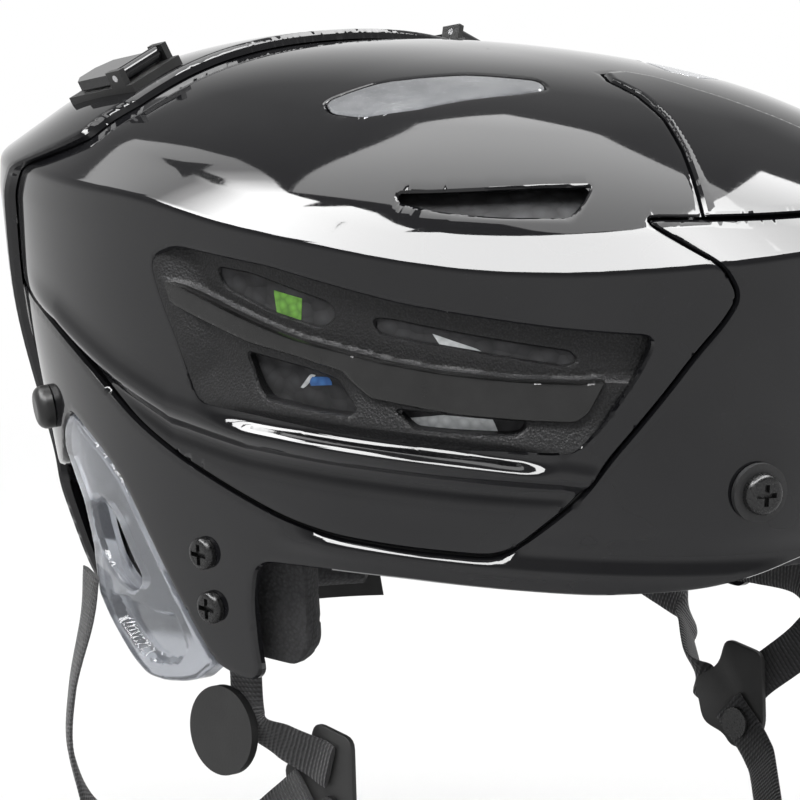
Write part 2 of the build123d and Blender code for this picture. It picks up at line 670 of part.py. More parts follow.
# Comfort pads
pad_skin = form_pad_outer - form_pad_inner
brow_zone = slab(high_y=-BROW_PAD_START, low_z=BROW_PAD_SHARES[0] * SHOULDER_HEIGHT,
                 high_z=BROW_PAD_SHARES[1] * SHOULDER_HEIGHT)
keep("brow_pad", pad_skin & brow_zone)
crown_zone = slab(-CROWN_PAD_REACH, LINER_SPLIT - PAD_INSET, SHOULDER_HEIGHT, half_x=CROWN_PAD_HALF)
keep("crown_pad_front", pad_skin & crown_zone)
crown_zone = slab(liner_start + PAD_INSET, CROWN_PAD_REACH, SHOULDER_HEIGHT, half_x=CROWN_PAD_HALF)
keep("crown_pad_rear", pad_skin & crown_zone)
temple_skin = form(TEMPLE_DEPTH) - form(TEMPLE_DEPTH + TEMPLE_THICKNESS)
keep_pair("temple_pad", right_half(temple_skin & side_prism(TEMPLE_SHARES)))

# Ear loops: clear mouldings with a flange screwed under the leg
loop_zone = side_prism(LOOP_SHARES) - point_prism(front_outline, PAD_GAP)
ear_loop = right_half((form_face - form_loop) & loop_zone)
flange = right_half((form_flange - form_insert_inner) & side_prism(LOOP_FLANGE_SHARES))
ear_loop = ear_loop + flange
ear_loop = ear_loop - side_prism(LOOP_HOLE_SHARES)
ear_loop = ear_loop - ((form_raised - form_flange) & side_prism(LOOP_PANEL_SHARES))
ear_loop = ear_loop - holes
keep_pair("ear_loop", ear_loop)

# Fasteners
forehead_screw = screw(SCREW_HEAD, SCREW_HEAD_HEIGHT, SCREW_SHANK, WASHER_THICKNESS + CONTACT_GAP * 2,
                       T_NUT_DEPTH + T_NUT_THICKNESS + CONTACT_GAP)
keep("forehead_screws", both_sides(place_on(forehead_plane, forehead_screw)))
washer = ring(WASHER, WASHER_HOLE, WASHER_THICKNESS, -CONTACT_GAP - WASHER_THICKNESS)
keep("screw_washers", both_sides(place_on(forehead_plane, washer)))
t_nut = ring(T_NUT, SCREW_SHANK + HOLE_GAP, T_NUT_THICKNESS, T_NUT_DEPTH)
keep("forehead_nuts", both_sides(place_on(forehead_plane, t_nut)))
nut_depth = INSERT_DEPTH + INSERT_WALL + PAD_GAP
leg_screw = screw(LEG_SCREW_HEAD, LEG_SCREW_HEIGHT, LEG_SCREW_SHANK, CONTACT_GAP,
                  nut_depth + LEG_NUT_THICKNESS)
keep("leg_screws", both_sides(Compound([place_on(plane, leg_screw) for plane in leg_planes])))
leg_nut = ring(LEG_NUT, LEG_SCREW_SHANK + HOLE_GAP, LEG_NUT_THICKNESS, nut_depth)
keep("leg_nuts", both_sides(Compound([place_on(plane, leg_nut) for plane in leg_planes])))
button = screw(BUTTON, BUTTON_HEIGHT, BUTTON_SHANK, CONTACT_GAP, nut_depth + CONTACT_GAP, recess=False)
keep("anchor_buttons", both_sides(place_on(button_plane, button)))

# Size latches: a lever on a base on each side of the rear shell
crown_point = surface_plane(LATCH_PLACE[0], LATCH_PLACE[1] * SHOULDER_HEIGHT)
ahead = in_plane(crown_point, Vector(0, -1, 0))
latch_plane = Plane(origin=crown_point.origin, x_dir=ahead, z_dir=crown_point.z_dir)
latch_floor = SHELL_GAP + SHELL_WALL + LATCH_FLOOR
latch_side = LATCH_WIDTH / 2 + EAR_WIDTH
base = between(-LATCH_LENGTH / 2, LATCH_FRONT, -latch_side, latch_side, -SHELL_WALL, latch_floor)
pin_height = latch_floor + SHELL_GAP + LEVER_RADIUS
ear_half = EAR_WIDTH + PIN_RADIUS
ear = between(LATCH_PIN - ear_half, LATCH_PIN + ear_half, LATCH_WIDTH / 2 + PAD_GAP, latch_side,
              -SHELL_WALL, pin_height + LEVER_RADIUS)
ears = ear + mirror(ear, about=Plane.XZ)
pin_place = Pos(LATCH_PIN, 0, pin_height) * Rotation(90, 0, 0)
pin_bore = pin_place * Cylinder(PIN_RADIUS + RUN_GAP, 2 * LATCH_WIDTH)
latch_base = latch_plane * (base + ears - pin_bore)
latch_base = latch_base - form(-SHELL_GAP - SHELL_WALL - CONTACT_GAP)
keep_pair("latch_base", latch_base)
pin = pin_place * Cylinder(PIN_RADIUS, LATCH_WIDTH + 2 * EAR_WIDTH)
keep("latch_pins", both_sides(latch_plane * pin))
tail = -LATCH_LENGTH / 2
half = LATCH_WIDTH / 2
lever_outline = Polyline(
    (tail, LATCH_SLANT - half), (tail + LATCH_SLANT, -half), (LATCH_PIN, -half), (LATCH_PIN, half),
    (tail + LATCH_SLANT, half), (tail, half - LATCH_SLANT), close=True,
)
lever = Pos(0, 0, latch_floor + SHELL_GAP) * extrude(make_face(lever_outline), amount=LEVER_THICKNESS)
lever = lever + pin_place * Cylinder(LEVER_RADIUS, LATCH_WIDTH) - pin_bore
keep_pair("latch_lever", latch_plane * lever)

# Occipital support: a padded plate that slides forward on two posts in the rear shell
carrier_zone = slab(low_y=OVERLAP_END / 2, low_z=CARRIER_SHARES[0] * SHOULDER_HEIGHT,
                    high_z=CARRIER_SHARES[1] * SHOULDER_HEIGHT, half_x=CARRIER_HALF)
carrier = (form(CARRIER_DEPTH) - form(CARRIER_DEPTH + CARRIER_WALL)) & carrier_zone
post_height = POST_SHARE * SHOULDER_HEIGHT
post_end = spread(post_height)[2]
post = Pos(POST_SPACING / 2, post_end - POST_LENGTH, post_height) * Rotation(-90, 0, 0) * Cylinder(
    POST_RADIUS, 2 * POST_LENGTH, align=(Align.CENTER, Align.CENTER, Align.MIN))
boss = Pos(POST_SPACING / 2, post_end - CARRIER_DEPTH - CARRIER_WALL - BOSS_LENGTH, post_height)
boss = boss * Rotation(-90, 0, 0) * Cylinder(
    BOSS_RADIUS, BOSS_LENGTH + CARRIER_WALL / 2, align=(Align.CENTER, Align.CENTER, Align.MIN))
boss_bore = Pos(POST_SPACING / 2, post_end, post_height) * Rotation(90, 0, 0) * Cylinder(
    POST_RADIUS + RUN_GAP, 3 * POST_LENGTH)
carrier = carrier + boss + mirrored(boss)
carrier = carrier - boss_bore - mirrored(boss_bore)
keep("occipital_carrier", carrier)
keep("occipital_posts", both_sides(post & form_face))
carrier_back = CARRIER_DEPTH + CARRIER_WALL
occipital_pad = form(carrier_back + PAD_GAP) - form(carrier_back + OCCIPITAL_PAD)
pad_zone = slab(low_y=OVERLAP_END / 2, low_z=CARRIER_SHARES[0] * SHOULDER_HEIGHT + PAD_INSET,
                high_z=CARRIER_SHARES[1] * SHOULDER_HEIGHT - PAD_INSET, half_x=CARRIER_HALF - PAD_INSET)
occipital_pad = occipital_pad & pad_zone
pad_hole = Pos(POST_SPACING / 2, post_end, post_height) * Rotation(90, 0, 0) * Cylinder(
    BOSS_RADIUS + EDGE_GAP, 3 * POST_LENGTH)
keep("occipital_pad", occipital_pad - pad_hole - mirrored(pad_hole))

# Harness: webbing from the shell to the yokes, and the chin strap with its cup
keep("rear_strap_right", ribbon(REAR_STRAP_RIGHT))
keep("front_strap_right", ribbon(FRONT_STRAP_RIGHT))
keep("rear_strap_left", ribbon(REAR_STRAP_LEFT))
keep("front_strap_left", ribbon(FRONT_STRAP_LEFT))
yoke_face = Plane.YZ * make_face(Polyline(*YOKE_POINTS, close=True))
yoke = extrude(Pos(-YOKE_X, 0, 0) * yoke_face, amount=YOKE_THICKNESS / 2, both=True)
pivot = Pos(-YOKE_X, PIVOT_Y, PIVOT_Z) * Rotation(0, 90, 0)
yoke = yoke - pivot * Cylinder(RIVET_RADIUS + RUN_GAP, SPAN / 4)
keep_pair("yoke", yoke)
arm_offset = YOKE_THICKNESS / 2 + SHELL_GAP + WEBBING_THICKNESS / 2
rivet_inner = arm_offset + WEBBING_THICKNESS / 2 + PAD_GAP
rivet_outer = YOKE_THICKNESS / 2 + PAD_GAP
upright = (Align.CENTER, Align.CENTER, Align.MIN)
rivet = Pos(0, 0, -rivet_outer) * Cylinder(RIVET_RADIUS, rivet_inner + rivet_outer, align=upright)
rivet_head = Cylinder(RIVET_HEAD, RIVET_HEAD_HEIGHT, align=upright)
rivet = rivet + Pos(0, 0, rivet_inner) * rivet_head
rivet = rivet + Pos(0, 0, -rivet_outer - RIVET_HEAD_HEIGHT) * rivet_head
keep("yoke_rivets", both_sides(pivot * rivet))
chin_strap = ribbon(CHIN_STRAP_RIGHT) - pivot * Cylinder(RIVET_RADIUS + RUN_GAP, SPAN / 4)
keep_pair("chin_strap", chin_strap)
cup_axis = Pos(0, CUP_Y, CUP_Z) * Rotation(0, 90, 0)
cup_cut = Pos(0, CUP_Y, CUP_Z) * Rotation(CUP_TURN, 0, 0) * cup_blank()
cup = cup_axis * (Cylinder(CUP_RADIUS, CUP_WIDTH) - Cylinder(CUP_RADIUS - CUP_WALL, CUP_WIDTH))
keep("chin_cup", cup & cup_cut)
pad_radius = CUP_RADIUS - CUP_WALL - PAD_GAP
cup_pad = cup_axis * (Cylinder(pad_radius, CUP_WIDTH) - Cylinder(pad_radius - CUP_PAD, CUP_WIDTH))
keep("chin_cup_pad", cup_pad & cup_cut)
slide_start = Vector(*CHIN_STRAP_RIGHT[2][0])
slide_end = Vector(*CHIN_STRAP_RIGHT[3][0])
slide_way = (slide_end - slide_start).normalized()
slide_across = Vector(*CHIN_STRAP_RIGHT[2][1])
slide_middle = (slide_start + slide_end) * 0.5
slide_plane = Plane(origin=slide_middle, x_dir=slide_way, z_dir=slide_way.cross(slide_across))
slider = Box(SLIDER_LENGTH, WEBBING + 2 * SLIDER_WALL, WEBBING_THICKNESS + 2 * SLIDER_WALL)
slider = slider - Box(SLIDER_LENGTH, WEBBING + 2 * SHELL_GAP, WEBBING_THICKNESS + 2 * SHELL_GAP)
keep_pair("strap_slider", slide_plane * slider)
disc = Pos(*DISC_CENTRE) * Rotation(0, 90, 0) * Cylinder(DISC_RADIUS, DISC_THICKNESS)
keep("strap_disc", disc)
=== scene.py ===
"""Looks of the ice hockey helmet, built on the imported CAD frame.

Lengths in the tables below are millimetres in the helmet's own level frame, as in the part's source;
to_row() tips them into the row frame and gives metres. Angles round the helmet count from the wearer's
right over the front, and a run is the way up the form from its lowest edge.
"""
from math import cos, radians, sin

import bpy
import numpy as np
from mathutils import Matrix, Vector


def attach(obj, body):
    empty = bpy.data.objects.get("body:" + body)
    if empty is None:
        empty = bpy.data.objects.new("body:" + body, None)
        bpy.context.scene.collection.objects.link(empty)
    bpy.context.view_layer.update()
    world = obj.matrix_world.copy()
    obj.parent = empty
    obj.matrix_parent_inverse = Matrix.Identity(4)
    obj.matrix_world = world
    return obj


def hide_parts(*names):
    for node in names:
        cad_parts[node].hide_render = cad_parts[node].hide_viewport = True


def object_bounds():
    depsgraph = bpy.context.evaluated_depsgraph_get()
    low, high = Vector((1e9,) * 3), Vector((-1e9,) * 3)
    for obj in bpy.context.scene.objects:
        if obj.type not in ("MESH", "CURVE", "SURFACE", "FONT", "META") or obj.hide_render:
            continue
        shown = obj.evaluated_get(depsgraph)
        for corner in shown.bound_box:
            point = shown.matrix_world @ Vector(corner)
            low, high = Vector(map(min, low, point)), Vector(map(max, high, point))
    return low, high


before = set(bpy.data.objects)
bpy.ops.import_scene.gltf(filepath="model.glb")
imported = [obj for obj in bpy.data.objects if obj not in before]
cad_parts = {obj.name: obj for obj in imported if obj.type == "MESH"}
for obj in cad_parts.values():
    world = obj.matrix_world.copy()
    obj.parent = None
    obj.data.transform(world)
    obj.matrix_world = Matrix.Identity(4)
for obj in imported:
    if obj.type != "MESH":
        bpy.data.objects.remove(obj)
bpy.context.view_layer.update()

MM = 0.001
TILT = radians(3.0)

# The form, as in the part's source
HALF_WIDTH = 109.0
FRONT_REACH = 140.0
REAR_REACH = 141.0
SHOULDER = 91.0
CROWN = 136.0
BAND_INSET = 9.0
DOME_FOOT = 71.0
DOME_LEAD = 30.0
PLAN_POWER = 2.25
DOME_POWER = 2.35
FORM_SHARES = np.array([
    (-0.824, 0.807, 0.800, 0.624),
    (-0.549, 0.862, 0.871, 0.674),
    (-0.275, 0.908, 0.936, 0.723),
    (0.000, 0.940, 0.979, 0.780),
    (0.330, 0.972, 1.000, 0.855),
    (0.659, 0.995, 1.000, 0.936),
    (1.000, 1.000, 0.979, 1.000),
])
WALL = 3.0
LOWEST = -75.0

# The scene's own form: the runs over the shoulder and over the dome, the run at the pole, and the dome's
# inset just above the shoulder, up to a share of its width
BAND_RUN = 13.0
DOME_RUN = 150.0
POLE_RUN = 331.0
INSET_SHARE = 0.72
SHOULDER_INSET = 4.5
# Half width of the level profile that the dome's run is measured on
PROFILE_HALF = 115.0
# How far the form's creases are softened
SOFTEN = 1.2

# The shoulder's lower and upper edge round the helmet: angle from the wearer's right, height
SHOULDER_LOW = np.array([
    (-90, 98.0), (-50, 99.5), (-26, 99.6), (-12, 100.0), (7, 96.8), (24, 94.9), (34, 93.4), (43, 92.7),
    (53, 93.3), (62, 95.0), (71, 96.8), (78, 98.2), (90, 100.0),
])
SHOULDER_HIGH = np.array([
    (-90, 111.0), (-50, 111.0), (-32, 110.4), (-12, 107.8), (6, 105.0), (18, 103.2), (33, 100.9),
    (46, 101.8), (53, 102.6), (63, 103.9), (70, 105.1), (90, 107.5),
])


def step(low, high, value):
    """A smooth step from 0 at low to 1 at high."""
    t = np.clip((value - low) / (high - low), 0, 1)
    return t * t * (3 - 2 * t)


def smooth_interp(table, angle):
    """A table read with smooth steps between its rows."""
    x, y = table[:, 0], table[:, 1]
    slope = np.gradient(y, x)
    i = np.clip(np.searchsorted(x, angle) - 1, 0, len(x) - 2)
    step = x[i + 1] - x[i]
    t = np.clip((angle - x[i]) / step, 0, 1)
    return (
        (2 * t**3 - 3 * t**2 + 1) * y[i]
        + (t**3 - 2 * t**2 + t) * step * slope[i]
        + (3 * t**2 - 2 * t**3) * y[i + 1]
        + (t**3 - t**2) * step * slope[i + 1]
    )


def wall_sizes(height):
    """Half width, front reach and rear reach of the side wall at a height."""
    share = np.clip(height / SHOULDER, FORM_SHARES[0, 0], 1.0)
    scale = (HALF_WIDTH, FRONT_REACH, REAR_REACH)
    return [smooth_interp(FORM_SHARES[:, (0, k + 1)], share) * scale[k] for k in range(3)]


def plan_radius(half_width, front, rear, angle):
    """Reach of the plan's rounded outline at an angle."""
    c, s = np.cos(angle), np.sin(angle)
    reach = np.where(s >= 0, front, rear)
    return (np.abs(c / half_width) ** PLAN_POWER + np.abs(s / reach) ** PLAN_POWER) ** (-1 / PLAN_POWER)


def dome_share(height, crown):
    """Share of the dome's full width at a height under a crown; dome_height() is its inverse."""
    start = (DOME_LEAD / (crown - DOME_FOOT)) ** DOME_POWER
    rise = np.clip((height - DOME_FOOT) / (crown - DOME_FOOT), 0, 1) ** DOME_POWER
    return ((1 - rise) / (1 - start)) ** (1 / DOME_POWER)


def dome_height(share, crown):
    start = (DOME_LEAD / (crown - DOME_FOOT)) ** DOME_POWER
    rise = np.clip(1 - share**DOME_POWER * (1 - start), 0, 1) ** (1 / DOME_POWER)
    return DOME_FOOT + rise * (crown - DOME_FOOT)


# The run over a level profile of the dome, from 0 to 1, against the share of its width
DOME_SHARES = np.linspace(1, 0, 400)
DOME_RUNS = np.concatenate([[0], np.cumsum(
    np.hypot(np.diff(DOME_SHARES) * PROFILE_HALF, np.diff(dome_height(DOME_SHARES, CROWN))))])
DOME_RUNS /= DOME_RUNS[-1]


def mirrored_angle(angle):
    """The angle on the wearer's right that mirrors an angle, in degrees, between -90 and 90."""
    degrees = np.degrees(angle)
    degrees = (degrees + 180) % 360 - 180
    return np.where(degrees > 90, 180 - degrees, np.where(degrees < -90, -180 - degrees, degrees))


def inset_at(share):
    """The dome stands further out just above the shoulder, so the shoulder is the steeper face."""
    return BAND_INSET - (BAND_INSET - SHOULDER_INSET) * step(INSET_SHARE, 1.0, share)


def raw_point(angle, run, depth):
    """A point of the form at an angle and a run up from its foot, at a depth inside the outer face."""
    side = mirrored_angle(angle)
    low = smooth_interp(SHOULDER_LOW, side)
    high = smooth_interp(SHOULDER_HIGH, side)
    # The side wall
    wall_height = np.minimum(LOWEST + run, low)
    wall_reach = plan_radius(*(size - depth for size in wall_sizes(wall_height)), angle)
    # The dome
    foot = low - LOWEST + BAND_RUN
    past = np.clip((run - foot) / (POLE_RUN - foot), 0, 1)
    start = np.interp(dome_share(high, CROWN), DOME_SHARES[::-1], DOME_RUNS[::-1])
    share = np.interp(start + past * (1 - start), DOME_RUNS, DOME_SHARES)
    inset = inset_at(share) + depth
    sizes = wall_sizes(np.full_like(run, SHOULDER))
    dome_reach = plan_radius(*(size - inset for size in sizes), angle) * share
    # The shoulder goes from the one to the other
    t = np.clip((run - (low - LOWEST)) / BAND_RUN, 0, 1)
    reach = wall_reach * (1 - t) + dome_reach * t
    height = wall_height * (1 - t) + dome_height(share, CROWN - depth) * t
    return -reach * np.cos(angle), -reach * np.sin(angle), height


def form_point(angle, run, depth):
    """The form with its creases softened, as the mean of points a little up and down the run."""
    total = [0.0, 0.0, 0.0]
    for shift in (-SOFTEN, -SOFTEN / 2, 0, SOFTEN / 2, SOFTEN):
        point = raw_point(angle, np.clip(run + shift, 0, None), depth)
        total = [t + 0.2 * p for t, p in zip(total, point)]
    return total


def to_row(x, y, z):
    """Level millimetres to the row frame's metres."""
    c, s = cos(TILT), sin(TILT)
    return np.stack([x * MM, (y * c - z * s) * MM, (y * s + z * c) * MM], -1)


# Run round the helmet at the ledge's height, so outlines keep their size where the shell turns forward
LEDGE_HEIGHT = 60.0
ROUND_ANGLES = np.radians(np.linspace(-90, 90, 721))
_radii = plan_radius(*wall_sizes(np.full_like(ROUND_ANGLES, LEDGE_HEIGHT)), ROUND_ANGLES)
ROUND_RUNS = np.concatenate([[0], np.cumsum(np.hypot(
    np.diff(-_radii * np.cos(ROUND_ANGLES)), np.diff(-_radii * np.sin(ROUND_ANGLES))))])
ROUND_RUNS -= ROUND_RUNS[len(ROUND_RUNS) // 2]


def around(angle):
    """Run round the shell from the wearer's right, growing to the front, for either side."""
    return np.interp(mirrored_angle(angle), np.degrees(ROUND_ANGLES), ROUND_RUNS)


def side_place(y, z):
    """A side view's point as a run round the shell and a height."""
    low, high = -90.0, 90.0
    sizes = wall_sizes(np.array([float(z)]))
    reach = sizes[1 if y < 0 else 2][0]
    if abs(y) >= reach:
        end = float(around(np.radians(high if y < 0 else low)))
        return end - (y + reach if y < 0 else y - reach), z
    for _ in range(40):
        middle = (low + high) / 2
        if -plan_radius(*sizes, np.radians(np.array([middle])))[0] * sin(radians(middle)) > y:
            low = middle
        else:
            high = middle
    return float(around(np.radians(middle))), z


def side_outline(shares):
    """An outline of side-view shares as runs round the shell and heights."""
    points = []
    for along, up in shares:
        reach = FRONT_REACH if along < 0 else REAR_REACH
        points.append(side_place(along * reach, up * SHOULDER))
    return np.array(points)


def rounded(points, radius, steps=5):
    """A closed outline with its corners rounded."""
    out = []
    count = len(points)
    for i in range(count):
        here = points[i]
        before = points[i - 1] - here
        after = points[(i + 1) % count] - here
        reach_before, reach_after = np.hypot(*before), np.hypot(*after)
        cut = min(radius, reach_before * 0.45, reach_after * 0.45)
        start = here + before / reach_before * cut
        end = here + after / reach_after * cut
        for t in np.linspace(0, 1, steps):
            out.append((1 - t) ** 2 * start + 2 * t * (1 - t) * here + t**2 * end)
    return np.array(out)


def smooth_path(values, per=14):
    """A smooth line through points, leaving and reaching each along its neighbours' line."""
    values = np.array(values, float)
    ends = np.vstack([2 * values[0] - values[1], values, 2 * values[-1] - values[-2]])
    out = []
    for i in range(1, len(ends) - 2):
        a, b, c, d = ends[i - 1:i + 3]
        for t in np.linspace(0, 1, per, endpoint=False):
            out.append(0.5 * (2 * b + (c - a) * t + (2 * a - 5 * b + 4 * c - d) * t**2
                              + (3 * b - a - 3 * c + d) * t**3))
    out.append(ends[-2])
    return np.array(out)


def distance_to(points, u, v):
    """Distance to an open line."""
    best = np.full(u.shape, 1e9)
    for (ax, ay), (bx, by) in zip(points[:-1], points[1:]):
        ex, ey = bx - ax, by - ay
        length = ex * ex + ey * ey
        if length > 1e-12:
            t = np.clip(((u - ax) * ex + (v - ay) * ey) / length, 0, 1)
            best = np.minimum(best, np.hypot(u - ax - t * ex, v - ay - t * ey))
    return best


def distance_in(points, u, v):
    """Signed distance to a closed outline, positive inside it."""
    closed = np.vstack([points, points[:1]])
    inside = np.zeros(u.shape, bool)
    for (ax, ay), (bx, by) in zip(closed[:-1], closed[1:]):
        if ay != by:
            inside ^= ((ay > v) != (by > v)) & (u < (bx - ax) * (v - ay) / (by - ay) + ax)
    return np.where(inside, 1, -1) * distance_to(closed, u, v)


def roll(distance, radius):
    """How far a rolled edge has dropped at a distance inside the outline."""
    d = np.minimum(np.maximum(distance, 0), radius)
    return radius - np.sqrt(np.maximum(radius**2 - (radius - d) ** 2, 0))


# Side outlines, as shares of the reach and of the shoulder's height
SEAM = (
    (-0.664, 0.231), (-0.493, 0.226), (-0.35, 0.23), (-0.243, 0.255), (-0.121, 0.307),
    (0.014, 0.369), (0.135, 0.44), (0.234, 0.516), (0.34, 0.597), (0.468, 0.669), (0.638, 0.725),
)
FRONT_EDGE = (
    (-0.779, 0.418), (-0.814, 0.525), (-0.871, 0.698), (-0.9, 0.82), (-0.921, 0.912),
    (-0.929, 0.978), (-0.914, 1.06), (-0.843, 1.18),
)
BROW = (
    (-1.2, 0.27), (-1.01, 0.264), (-0.986, 0.233), (-0.914, 0.158), (-0.8, 0.136),
    (-0.657, 0.136), (-0.486, 0.135), (-0.3, 0.124), (-0.19, 0.112), (-0.16, 0.085),
)
LEG = (
    (-0.146, -0.011), (-0.15, -0.154), (-0.157, -0.225), (-0.136, -0.255), (-0.093, -0.255),
    (-0.036, -0.233), (0.05, -0.066), (0.206, 0.249), (0.27, 0.319), (0.348, 0.374),
    (0.404, 0.407), (0.447, 0.363), (0.482, 0.22), (0.567, 0.176), (0.695, 0.187),
)
REAR_EDGE = (
    (0.411, 1.3), (0.454, 1.21), (0.61, 1.1), (0.674, 1.0), (0.688, 0.681), (0.688, 0.31),
    (0.675, 0.165), (0.65, 0.08), (0.645, -0.22), (0.66, -0.44), (0.69, -0.527),
)
LOOP = (
    (0.411, 0.412), (0.27, 0.313), (0.206, 0.243), (0.05, -0.072), (-0.036, -0.233),
    (0.021, -0.297), (0.064, -0.318), (0.128, -0.336), (0.177, -0.338), (0.227, -0.302),
    (0.312, -0.204), (0.355, -0.143), (0.358, 0.022), (0.383, 0.134), (0.462, 0.275),
    (0.45, 0.363),
)
LOOP_HOLE = (
    (0.34, 0.143), (0.291, 0.176), (0.241, 0.121), (0.199, 0.027), (0.163, -0.038),
    (0.191, -0.08), (0.248, -0.058), (0.298, -0.005), (0.326, 0.06),
)
LOOP_PANEL = (
    (0.300, -0.120), (0.234, -0.105), (0.135, -0.122), (0.071, -0.105), (0.036, -0.205),
    (0.064, -0.265), (0.135, -0.285), (0.19, -0.27), (0.27, -0.2),
)
OPENING = (
    (0.108, 0.93), (0.04, 0.98), (-0.209, 0.967), (-0.484, 0.912), (-0.741, 0.879), (-0.86, 0.868),
    (-0.846, 0.772), (-0.802, 0.61), (-0.77, 0.54), (-0.6, 0.52), (-0.336, 0.525), (-0.03, 0.545),
    (0.02, 0.7), (0.071, 0.819),
)
SCOOP_EDGE = (
    (-0.78, 0.5), (-0.6, 0.515), (-0.336, 0.52), (-0.03, 0.54), (0.025, 0.7), (0.076, 0.819), (0.115, 0.93),
)
BAR = (
    (0.112, 0.89), (0.023, 0.871), (-0.081, 0.835), (-0.18, 0.802), (-0.267, 0.777), (-0.374, 0.761),
    (-0.449, 0.747), (-0.551, 0.736), (-0.678, 0.731), (-0.773, 0.734), (-0.809, 0.745),
    (-0.789, 0.651), (-0.771, 0.621), (-0.715, 0.618), (-0.586, 0.618), (-0.43, 0.637),
    (-0.391, 0.676), (-0.374, 0.701), (-0.271, 0.725), (-0.156, 0.742), (-0.02, 0.786), (0.064, 0.815),
)
WINDOWS = (
    ((-0.043, 0.931), (-0.139, 0.929), (-0.326, 0.882), (-0.344, 0.849), (-0.316, 0.81), (-0.189, 0.835),
     (-0.069, 0.879)),
    ((-0.421, 0.852), (-0.456, 0.857), (-0.606, 0.835), (-0.763, 0.81), (-0.773, 0.788), (-0.761, 0.772),
     (-0.607, 0.797), (-0.438, 0.816)),
    ((-0.145, 0.712), (-0.295, 0.692), (-0.36, 0.673), (-0.401, 0.599), (-0.39, 0.582), (-0.293, 0.582),
     (-0.201, 0.591), (-0.175, 0.629)),
    ((-0.479, 0.614), (-0.705, 0.614), (-0.695, 0.585), (-0.674, 0.577), (-0.571, 0.57), (-0.517, 0.57)),
)
SLOT = (
    (-0.453, 1.178), (-0.449, 1.2), (-0.554, 1.215), (-0.649, 1.23), (-0.726, 1.241), (-0.799, 1.247),
    (-0.78, 1.209), (-0.758, 1.172), (-0.65, 1.163), (-0.579, 1.163), (-0.522, 1.166),
)
# Top outlines, as shares of the half width and the reach
PANEL = (
    (0.42, -1.1), (0.41, -0.93), (0.385, -0.843), (0.248, -0.693), (0.165, -0.586),
    (0.101, -0.471), (0.073, -0.38), (0.03, -0.33),
)
CROWN_VENT = (
    (0.62, -0.045), (0.655, -0.09), (0.645, -0.165), (0.56, -0.243), (0.35, -0.343),
    (0.27, -0.36), (0.235, -0.31), (0.32, -0.19), (0.48, -0.08),
)
# Rear view outlines, as shares of the half width and the shoulder's height
REAR_VENTS = (
    ((0.13, 0.98), (0.46, 1.0), (0.52, 0.9), (0.46, 0.84), (0.13, 0.82)),
    ((0.15, 0.62), (0.42, 0.66), (0.48, 0.58), (0.42, 0.52), (0.15, 0.46)),
)
HIGH = 148.0
ABOVE = HIGH + 60
FAR = 900.0
OVERLAP_END = 112.0
SEAM_END = 168.0
PANEL_FOOT = 1.18 * SHOULDER


def outer_zone(rear_end):
    """The outer shell's zone above the seam, with its straight rear end at a place."""
    rear = [side_place(rear_end, height) for height in (SEAM[-1][1] * SHOULDER, HIGH)]
    ahead = [(rear[0][0] + FAR, height) for height in (HIGH, PANEL_FOOT)]
    return np.vstack([side_outline(SEAM), rear, ahead, side_outline(FRONT_EDGE[::-1])])


def front_zone():
    """The front shell's zone above the brow's and the leg's lower edge."""
    end = side_place(OVERLAP_END, LEG[-1][1] * SHOULDER)
    rest = [end, (end[0], HIGH), (end[0] + FAR, HIGH), (end[0] + FAR, BROW[0][1] * SHOULDER)]
    return np.vstack([side_outline(BROW + LEG), rest])


def rear_zone():
    """The rear shell's zone behind its front edge."""
    points = side_outline(REAR_EDGE)
    return np.vstack([points, [(-FAR, REAR_EDGE[-1][1] * SHOULDER), (-FAR, ABOVE), (points[0][0], ABOVE)]])


def top_outline(shares):
    return np.array([(x * HALF_WIDTH, y * (FRONT_REACH if y < 0 else REAR_REACH)) for x, y in shares])


OUTER_ZONE = rounded(outer_zone(OVERLAP_END), 7.0)
OUTER_ALL = rounded(outer_zone(SEAM_END), 7.0)
FRONT_ZONE = rounded(front_zone(), 6.0)
REAR_ZONE = rounded(rear_zone(), 9.0)
OPENING_LINE = rounded(side_outline(OPENING), 4.0)
SCOOP_LINE = smooth_path(side_outline(SCOOP_EDGE), 8)
BAR_LINE = rounded(side_outline(BAR), 1.2)
WINDOW_LINES = [rounded(side_outline(w), r) for w, r in zip(WINDOWS, (2.5, 2.0, 1.5, 1.0))]
SLOT_LINE = rounded(side_outline(SLOT), 1.0)
LOOP_LINE = rounded(side_outline(LOOP), 2.5)
LOOP_HOLE_LINE = rounded(side_outline(LOOP_HOLE), 2.5)
LOOP_PANEL_LINE = rounded(side_outline(LOOP_PANEL), 2.0)
PANEL_LINE = np.vstack([top_outline(PANEL), top_outline(PANEL)[::-1] * (-1, 1)])
CROWN_VENT_LINE = rounded(top_outline(CROWN_VENT), 3.0)

# Meshing: the usual grid and the first ring inside an outline
GRID = 0.9
RING = 0.55
# Least reach near the pole, least slope of an outline's distance, mark of points on no ring
LEAST_REACH = 20.0
LEAST_SLOPE = 0.3
NO_RING = 9
# How near an outline points are looked at, in cells, and the rings they move onto, to either side
NEAR = 1.6
FIXED_RINGS = 1.5
# Step that a distance's slope is measured over, and the furthest that a point moves in one go
NUDGE = 0.02
MOST_MOVE = 1.2
# The shell's mean reach, the fewest steps of a grid and the angle in degrees from which edges are sharp
MEAN_REACH = 122.0
LEAST_STEPS = 8
SHARP_FROM = 38.0


class Spots:
    """Points of the form at a depth: angle, run, run round the shell, level place, distance inside."""

    def __init__(self, angle, run, depth=0.0):
        self.angle, self.run, self.u = angle, run, around(angle)
        self.x, self.y, self.z = raw_point(angle, run, np.full_like(angle, depth))
        self.inside = None


